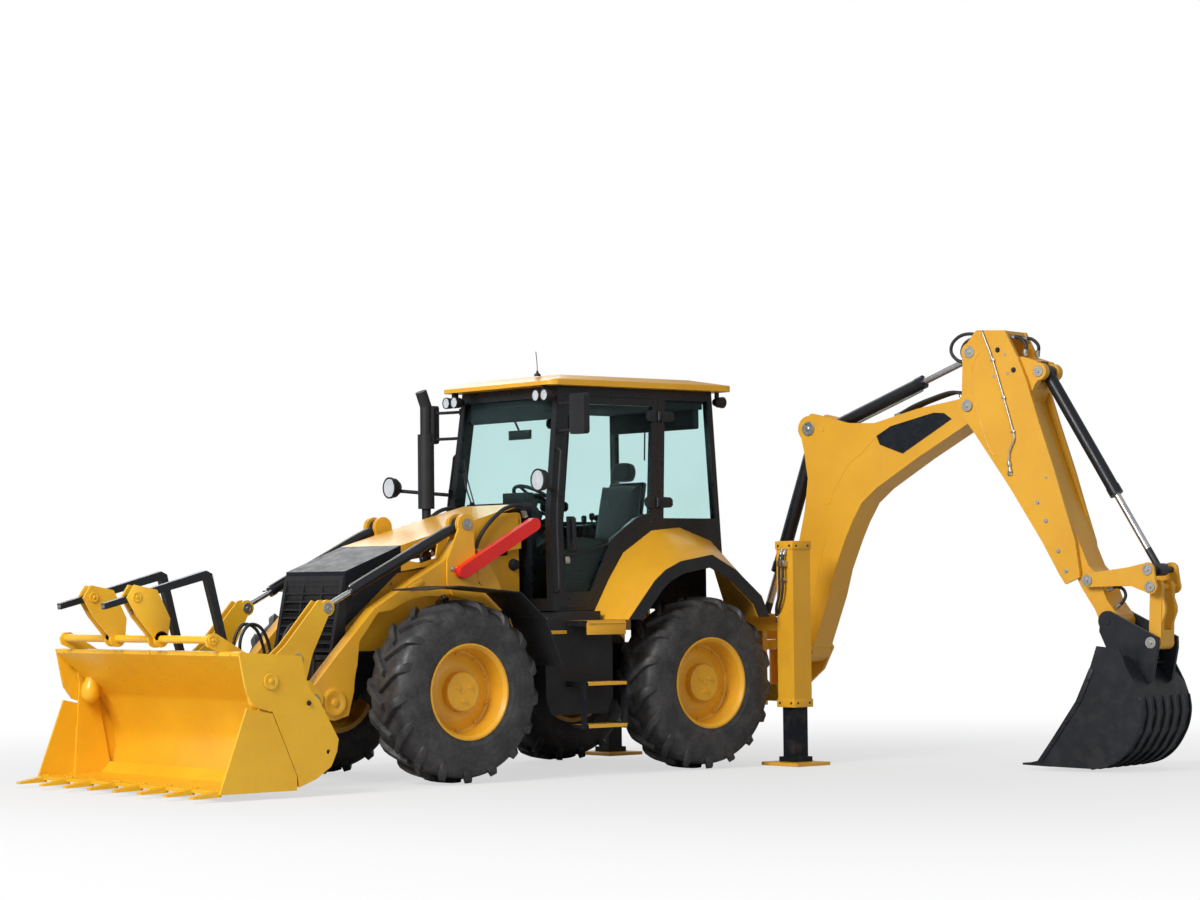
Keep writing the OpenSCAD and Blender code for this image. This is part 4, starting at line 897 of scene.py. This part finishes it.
# middle of each lamp, the way it faces along X and its radius
LAMP_DEPTH = 82.4
HEADS = ((1150, 500, 2768, 1, 44), (1150, 600, 2768, 1, 44), (-500, 520, 2768, -1, 44),
         (1462, 915, 2130, 1, 82))
for x, y, z, way, r in HEADS:
    for _, s in SIDES:
        face = (x + way * LAMP_DEPTH, s * y, z)
        bowl.turned(face, (way, 0, 0),
                    [(0, r * 0.86), (1.2, r * 0.84), (0.8, r * 0.5), (0.6, r * 0.3), (3, r * 0.16)], 32)
        lens.turned(face, (way, 0, 0),
                    [(1.6, r * 0.88), (3.5, r * 0.86), (r * 0.16, r * 0.5), (r * 0.2, r * 0.05)], 32)
        rings.turned(face, (way, 0, 0), [(0, r), (5, r), (6.5, r * 0.95), (5, r * 0.88), (0, r * 0.88)], 32)
bowl.piece("lamp_bowls", "chassis", mirror_glass)
lens.piece("lamp_lenses", "chassis", lamp_glass, 0, 60)
rings.piece("lamp_rings", "chassis", plastic)
for side, s in SIDES:
    front = [(1129, s * y, z) for y, z in ((850, 2490), (980, 2490), (980, 2744), (850, 2744))]
    inset = [(1127, s * y, z) for y, z in ((856, 2496), (974, 2496), (974, 2738), (856, 2738))]
    face = Shape().grid([front, inset])
    face.piece(f"mirror_face_{side}", "chassis", mirror_glass)
whip = Shape().turned((1060, 306, 2928), (0, 0, 1), [(0, 26), (14, 24), (22, 12), (40, 6)], 24)
whip.pipe([(1060, 306, 2960), (1062, 304, 3030), (1068, 300, 3110)], 3, 8)
whip.piece("antenna", "chassis", plastic)

# -------------------- cab

LEAN, SLANT = math.radians(2.4), math.radians(4.19)
SILL_HALF, SILL_Z, HINGE_X = 655, 1190, 241.5


def half(z):
    """Half the cab's width at a height."""
    return SILL_HALF - (z - SILL_Z) * math.tan(LEAN)


def wall(s, off=0.0):
    """Place function for a piece drawn as (x, distance outside the cab's side, z)."""
    return lambda x, d, z: at(x, s * (half(z) + off + d), z)


HINGE_PLATE = ((-22, -44), (-130, -38), (-150, -20), (-150, 20), (-130, 38), (-22, 44))
HINGE_LEAF = ((22, -19), (40, -46), (100, -40), (120, -18), (120, 18), (100, 40), (40, 46), (22, 19))
for side, s in SIDES:
    door = f"{side}_door"
    # handle and lock, seals, inner panel and its rail
    grip = Shape(wall(s)).box(985, 1060, 0, 14, 1640, 1880)
    grip.box(1000, 1030, 12, 34, 1662, 1700).box(1000, 1030, 12, 34, 1824, 1862)
    grip.box(998, 1032, 30, 44, 1655, 1869)
    grip.piece(f"door_handle_{side}", door, plastic, 5)
    lock = Shape(wall(s)).turned((1058, 0, 1560), (0, 1, 0), [(0, 22), (6, 22), (8, 18), (8, 8), (5, 6)], 28)
    lock.box(1040, 1078, 0, 3, 1535, 1585)
    lock.piece(f"door_lock_{side}", door, zinc, 1)
    panel = Shape(wall(s, -40))
    panel.prism([(1094, 1322), (1094, 1730), (960, 1730), (636, 1712), (845, 1322)], 0, 8)
    for k in range(5):
        panel.box(900, 1060, -4, 12, 1380 + k * 30, 1388 + k * 30)
    panel.piece(f"door_inner_panel_{side}", door, plastic, 2)
    rail = Shape(wall(s, -22)).pipe([(1075, 0, 1600), (1040, 4, 1600), (900, 4, 1622), (600, 4, 1690),
                                     (560, 0, 1706)], 8)
    rail.piece(f"door_rail_{side}", door, cast)
    seal = Shape(wall(s, -5))
    loop = [(1145, 1210), (1145, 1880), (1040, 2766), (132, 2766), (198, 1852), (344, 1828), (592, 1683),
            (868, 1210)]
    seal.pipe([(x, 0, z) for x, z in loop + loop[:1]], 4.5, 8, 1)
    seal.piece(f"door_seal_{side}", "chassis", hose_rubber)
    # broad hinge leaves on the pillar and the door
    leaves, plates = Shape(wall(s)), Shape(wall(s))
    for z in (1990, 2640):
        x = HINGE_X - (z - SILL_Z) * math.tan(SLANT)
        plates.prism([(x + a, z + b) for a, b in HINGE_PLATE], 0, 16)
        leaves.prism([(x + a, z + b) for a, b in HINGE_LEAF], 1, 18)
        for d in (-40, -110):
            plates.bolt((x + d, 16, z), (0, 1, 0), 9)
        leaves.bolt((x + 80, 18, z), (0, 1, 0), 9)
    plates.piece(f"hinge_plates_{side}", "chassis", plastic, 3)
    leaves.piece(f"hinge_leaves_{side}", door, plastic, 3)
    # grab rail up the front pillar, with its two feet
    grab = Shape(wall(s)).pipe([(1186, 0, 1330), (1184, 44, 1350), (1182, 48, 1500), (1176, 48, 1900),
                                (1128, 48, 2300), (1122, 44, 2360), (1124, 0, 2378)], 11)
    grab.piece(f"grab_rail_{side}", "chassis", plastic)

# inside: headliner, sun blind, rear consoles' tops, mirror and the wheel's hub
inside = Shape()
inside.grid([[(-372, -520, 2796), (1050, -520, 2796), (1050, 520, 2796), (-372, 520, 2796)],
             [(-372, -530, 2706), (1062, -530, 2706), (1062, 530, 2706), (-372, 530, 2706)]])
inside.box(1040, 1075, -500, 500, 2600, 2720)
inside.box(-360, -300, -500, 500, 2560, 2720)
inside.piece("headliner", "chassis", lining, 12)
fittings = Shape().box(980, 1000, -130, 130, 2470, 2540).rod((1000, 0, 2540), (1040, 0, 2610), 8)
fittings.turned((828, 0, 2008), (-0.574, 0, 0.819), [(24, 50), (34, 60), (40, 52), (44, 20)], 28)
for _, s in SIDES:
    for x, h in ((-60, 0), (20, 20), (100, 0)):
        fittings.turned((x, s * 347, 1755), (0, 0, 1),
                        [(0, 22), (30, 8), (100 + h, 7), (112 + h, 20), (150 + h, 22), (160 + h, 12)], 18)
    fittings.box(-140, 140, s * 318, s * 376, 1750, 1772)
fittings.box(985, 1045, -150, 150, 1960, 2070)
fittings.piece("cab_fittings", "chassis", plastic, 3)

# wipers before the windscreen and behind the rear screen
blade = Shape().rod((1190, -330, 1992), (1212, -330, 2000), 14)
blade.pipe([(1206, -330, 2000), (1204, -390, 2110), (1192, -440, 2230)], 6)
blade.pipe([(1199, -300, 1990), (1188, -400, 2190), (1172, -460, 2330)], 5)
blade.rod((-452, -250, 2760), (-474, -250, 2762), 14)
blade.pipe([(-460, -250, 2760), (-458, -262, 2560), (-462, -275, 2350)], 6)
blade.piece("wipers", "chassis", plastic)


# rings of a cushion from its foot up: share of the height, share of the outline, share of the crown
CUSHION_RINGS = (
    (0.0, 0.90, 0.0), (0.08, 0.97, 0.0), (0.3, 1.0, 0.0), (0.62, 1.0, 0.0), (0.74, 0.985, 0.0),
    (0.82, 0.995, 0.1), (0.93, 0.93, 0.45), (1.0, 0.80, 0.75), (1.0, 0.55, 0.93), (1.0, 0.28, 1.0),
    (1.0, 0.08, 1.0),
)
SEAM = 9


def cushion(name, outline, low, high, crown, channels, place):
    """A sewn pad: rounded outline, crowned above, with seams that pull in; drawn in its own frame."""
    shape = Shape(place)
    cx = sum(p[0] for p in outline) / len(outline)
    cy = sum(p[1] for p in outline) / len(outline)
    line = curve_through([Vector((*p, 0)) for p in outline + outline[:1]], 5)[:-1]
    rows = []
    for t, size, lift in CUSHION_RINGS:
        row = []
        for p in line:
            x, y = cx + (p.x - cx) * size, cy + (p.y - cy) * size
            z = low + (high - low) * t + crown * lift
            if t >= 0.93:
                for c in channels:
                    z -= SEAM * math.exp(-((y - c) / SEAM) ** 2)
            row.append((x, y, z))
        rows.append(row)
    shape.grid(rows)
    obj = shape.piece(name, "chassis", seat_cloth, 0, 75, "seat_fabric")
    smooth = obj.modifiers.new("pad", "SUBSURF")
    smooth.levels = smooth.render_levels = 2
    return obj


BACK_LEAN = math.radians(10)
ARM_Y = 272


def back_place(x, y, z):
    """Seat back's frame: x up the back, y across, z out of its front."""
    a = BACK_LEAN
    return at(68 + z * math.cos(a) - x * math.sin(a), y, 1510 + x * math.cos(a) + z * math.sin(a))


def pad_outline(x0, x1, y):
    return [(x0, -y + 40), (x0 + 30, -y), (x1 - 50, -y), (x1, -y + 50),
            (x1, y - 50), (x1 - 50, y), (x0 + 30, y), (x0, y - 40)]


base = cushion("seat_cushion", pad_outline(70, 535, 232), 1462, 1530, 30, (-120, 120), at)
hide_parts("cab_seat")
cushion("seat_back_cushion", pad_outline(40, 620, 216), 10, 66, 30, (-110, 110), back_place)
cushion("head_cushion", pad_outline(660, 800, 120), 16, 70, 16, (), back_place)
for side, s in SIDES:
    y = s * ARM_Y
    outline = [(84, y - 20), (90, y - 27), (400, y - 27), (409, y), (400, y + 27), (90, y + 27),
               (84, y + 20), (80, y)]
    cushion(f"arm_pad_{side}", outline, 1650, 1678, 6, (), at)
shell = Shape(back_place).prism([(0, -38), (660, -38), (660, 8), (0, 8)], -205, 205)
shell.piece("seat_back_shell", "chassis", plastic, 16)

pedestal = Shape()
for k in range(7):
    inset = 0 if k % 2 else 14
    pedestal.box(96 + inset, 484 - inset, -154 + inset, 154 - inset, 1237 + k * 26, 1264 + k * 26)
pedestal.box(60, 520, -215, 215, 1420, 1462)
for _, s in SIDES:
    pedestal.box(60, 120, s * 216, s * 262, 1500, 1650)
pedestal.piece("seat_pedestal", "chassis", plastic, 5)

# -------------------- steps, columns and feet

# the four strips of a collar round a column: from and to in X, from and to in Y
COLLAR = ((-861, -669, 1001, 1009), (-861, -669, 1189, 1197), (-863, -855, 1003, 1195),
          (-675, -667, 1003, 1195))
for side, s in SIDES:
    grips = Shape()
    for z in (372, 676):
        for x in range(852, 1190, 24):
            grips.turned((x, s * 1034, z - 1), (0, 0, 1), [(0, 7), (3, 6), (4, 4)], 10)
    grips.piece(f"step_studs_{side}", "chassis", yellow)
    edge = Shape().pipe([(842, s * 1036, 1101), (1020, s * 1036, 1101), (1198, s * 1036, 1101)], 6, 10, 1)
    edge.piece(f"deck_edge_{side}", "chassis", yellow)
    # hoses up the column's front, their valve block and clamps, and the collar at its foot
    hosed(f"column_hoses_{side}", "chassis", [
        [(-668, s * (COLUMN_Y + d), 1628), (-640, s * (COLUMN_Y + d), 1560),
         (-636, s * (COLUMN_Y + d * 1.2), 1440),
         (-640, s * (1090 + d), 1300), (-652, s * (1040 + d), 1180), (-690, s * 1000, 1100 + d)]
        for d in (-16, 18)
    ], 10)
    block = Shape().box(-674, -628, s * 1062, s * 1136, 1500, 1545)
    block.box(-674, -634, s * 1066, s * 1130, 1390, 1412)
    block.turned((-650, s * 1085, 1545), (0, 0, 1), [(0, 16), (26, 16), (30, 10)], 6)
    block.piece(f"column_clamps_{side}", "chassis", zinc, 2)
    collar = Shape()
    for x0, x1, y0, y1 in COLLAR:
        collar.box(x0, x1, s * y0, s * y1, 438, 500)
        collar.box(x0, x1, s * y0, s * y1, 1630, 1690)
    collar.piece(f"column_collars_{side}", "chassis", yellow, 2)

# -------------------- hoe

BEAD_R = 3.2


def bead(welds, points, y):
    """Weld bead along a line drawn in r and z, on both faces at y."""
    for _, s in SIDES:
        welds.pipe([(a, s * y, b) for a, b in points], BEAD_R, 8)


band = Shape(hoe)
for _, s in SIDES:
    band.prism([(1000, 2492), (1130, 2562), (1515, 2648), (1610, 2642), (1678, 2594), (1236, 2348),
                (1030, 2424)], s * (BOOM_Y + 0.2), s * (BOOM_Y + 1.6))
band.piece("boom_band", "boom", dark_gloss)
welds = Shape(hoe)
bead(welds, [(985, 2480), (880, 2380), (740, 2280), (660, 2170), (600, 2085), (560, 1990), (500, 1980)],
     BOOM_Y)
bead(welds, [(330, 980), (400, 1250), (470, 1560), (520, 1720)], BOOM_Y)
welds.piece("boom_welds", "boom", yellow)
welds = Shape(hoe)
bead(welds, [(1956, 3080), (1900, 3006), (1887, 2894), (1896, 2763), (1946, 2573), (2029, 2347),
             (2114, 2290)], STICK_Y)
welds.piece("stick_welds", "stick", yellow)

pipe, clamps = Shape(hoe), Shape(hoe)
for _, s in SIDES:
    run = ((1990, 3215), (2072, 3014), (2183, 2656), (2240, 2460), (2242, 2410), (2205, 2330), (2196, 2250))
    pipe.pipe([(1985, s * 150, 3236)] + [(x, s * PIPE_Y, z) for x, z in run], 7)
    clamps.turned((2196, s * PIPE_Y, 2256), (0.15, 0, -1),
                  [(0, 9), (0, 15), (34, 15), (36, 11), (60, 11), (60, 15), (84, 15), (88, 8)], 16)
    for x, z in ((2072, 3014), (2160, 2730), (2236, 2475)):
        clamps.box(x - 16, x + 16, s * STICK_Y, s * 181, z - 9, z + 9)
    clamps.box(2180, 2218, s * STICK_Y, s * 170, 2150, 2185)
pipe.piece("stick_steel_pipes", "stick", zinc)
clamps.piece("stick_pipe_clamps", "stick", zinc, 2)

hosed("stick_head_hoses", "stick", [
    [(1940, y, 3205), (1850, y, 3226), (1760, y, 3216), (1690, y, 3166), (1676, y, 3096), (1730, y, 3034),
     (1820, y, 3010)]
    for y in (-114, 84)
] + [
    [(1960, y, 3196), (1860, y, 3196), (1780, y, 3160), (1750, y, 3096), (1780, y, 3040), (1850, y, 3020)]
    for y in (-84, 114)
], 13, hoe)
hosed("stick_rear_hoses", "stick", [
    [(2170, y, 3180), (2250, y, 3176), (2310, y, 3120), (2300, y, 3040)] for y in (-90, 90)
], 13, hoe)
hosed("boom_hoses", "boom", [
    [(1130, y, 2640), (1290, y, 2712), (1450, y, 2762), (1610, y, 2800), (1700, y, 2790), (1740, y, 2738)]
    for y in (-50, -18, 18, 50)
], 12, hoe)
hosed("coupler_hose", "stick_extension", [
    [(2960, -88, 1300), (3030, -90, 1322), (3085, -90, 1302), (3102, -90, 1256), (3074, -90, 1208),
     (3020, -88, 1170)]
], 12, hoe)
oil = Shape(hoe).pipe([(560, 0, 2544), (620, 0, 2558), (1290, 0, 2809), (1320, 0, 2829)], 8)
oil.piece("stick_cylinder_line", "stick_barrel", zinc)
slide = Shape(hoe)
for _, s in SIDES:
    for x, z in ((2236, 2960), (2268, 2860), (2290, 2780)):
        slide.bolt((x, s * 124, z), (0, s, 0), 5)
slide.piece("wear_pad_bolts", "stick_extension", zinc)

# hoe bucket: straps round its back, side cutters and tooth shanks
SHELL_BACK = [(2958, 22), (3120, 62), (3240, 150), (3329, 290), (3362, 422), (3350, 540)]
CUTTER_Y = 389


def offset(outline, gap):
    """The bucket's back moved outwards by a gap."""
    line = curve_through([Vector((x, z, 0)) for x, z in outline], 4)
    moved = []
    for i, p in enumerate(line):
        way = (line[min(i + 1, len(line) - 1)] - line[max(i - 1, 0)]).normalized()
        moved.append((p.x + way.y * gap, p.y - way.x * gap))
    return moved


straps = Shape(hoe)
for y in (-372, -250, -125, 0, 125, 250, 372):
    w = 9 if abs(y) > 300 else 26
    path = [(x, max(z, 6)) for x, z in offset(SHELL_BACK, 8)]
    inner = offset(SHELL_BACK, -6)
    rows = []
    for (x, z), (u, v) in zip(path, inner):
        rows.append([(x, y - w, z), (x, y + w, z), (u, y + w, v), (u, y - w, v)])
    straps.grid(rows)
straps.piece("bucket_straps", "hoe_bucket", bucket_black, 2)
cutters = Shape(hoe)
for _, s in SIDES:
    cutters.prism([(2519, 64), (2560, 62), (2686, 224), (2888, 500), (2996, 728), (2962, 744), (2844, 502),
                   (2640, 222)], s * 381, s * CUTTER_Y)
    for x, z in ((2640, 190), (2760, 350), (2870, 500), (2950, 660)):
        cutters.bolt((x, s * CUTTER_Y, z), (0, s, 0), 9)
cutters.piece("side_cutters", "hoe_bucket", bucket_black, 2)
shanks = Shape(hoe)
for i in range(-2, 3):
    y = i * 172
    lift = [(2660, 62), (2690, 92), (2600, 96), (2520, 70), (2440, 52), (2440, 44), (2600, 60)]
    shanks.prism(lift, y - 30, y + 30)
    shanks.rod((2560, y - 36, 66), (2560, y + 36, 66), 9, 12)
shanks.piece("tooth_shanks", "hoe_bucket", bucket_black, 3)
torque = Shape(hoe).rod((3090, -132, 900), (3090, 132, 900), 46, 28)
torque.box(3150, 3290, -132, 132, 768, 786)
for y in (-60, 60):
    torque.prism([(3060, 840), (3120, 960), (3230, 930), (3290, 800), (3230, 760)], y - 8, y + 8)
torque.piece("coupler_body", "hoe_bucket", bucket_black, 4)
bumps = Shape(hoe)
for _, s in SIDES:
    bumps.prism([(3398, 1250), (3422, 1180), (3422, 1140), (3390, 1060)], s * 66, s * 96)
bumps.piece("link_stops", "power_link", yellow, 3)

# carriage: clamp bolts at its corners; axles: caps of the kingpins
marks = Shape()
for y in (100, 230, 490, 620):
    for z in (520, 1090):
        marks.bolt((-891, y, z), (-1, 0, 0), 15)
marks.piece("carriage_bolts", "carriage", zinc)
kings = Shape()
for _, x, _, s in WHEELS:
    for z, w in ((788, 1), (492, -1)):
        kings.turned((x, s * 640, z), (0, 0, w), [(0, 60), (8, 60), (11, 54), (11, 34), (15, 30)], 28)
        for k in range(4):
            a = math.pi / 4 + k * math.pi / 2
            kings.bolt((x + 46 * math.cos(a), s * 640 + 46 * math.sin(a), z + 11 * w), (0, 0, w), 6)
kings.piece("kingpin_caps", "chassis", cast)
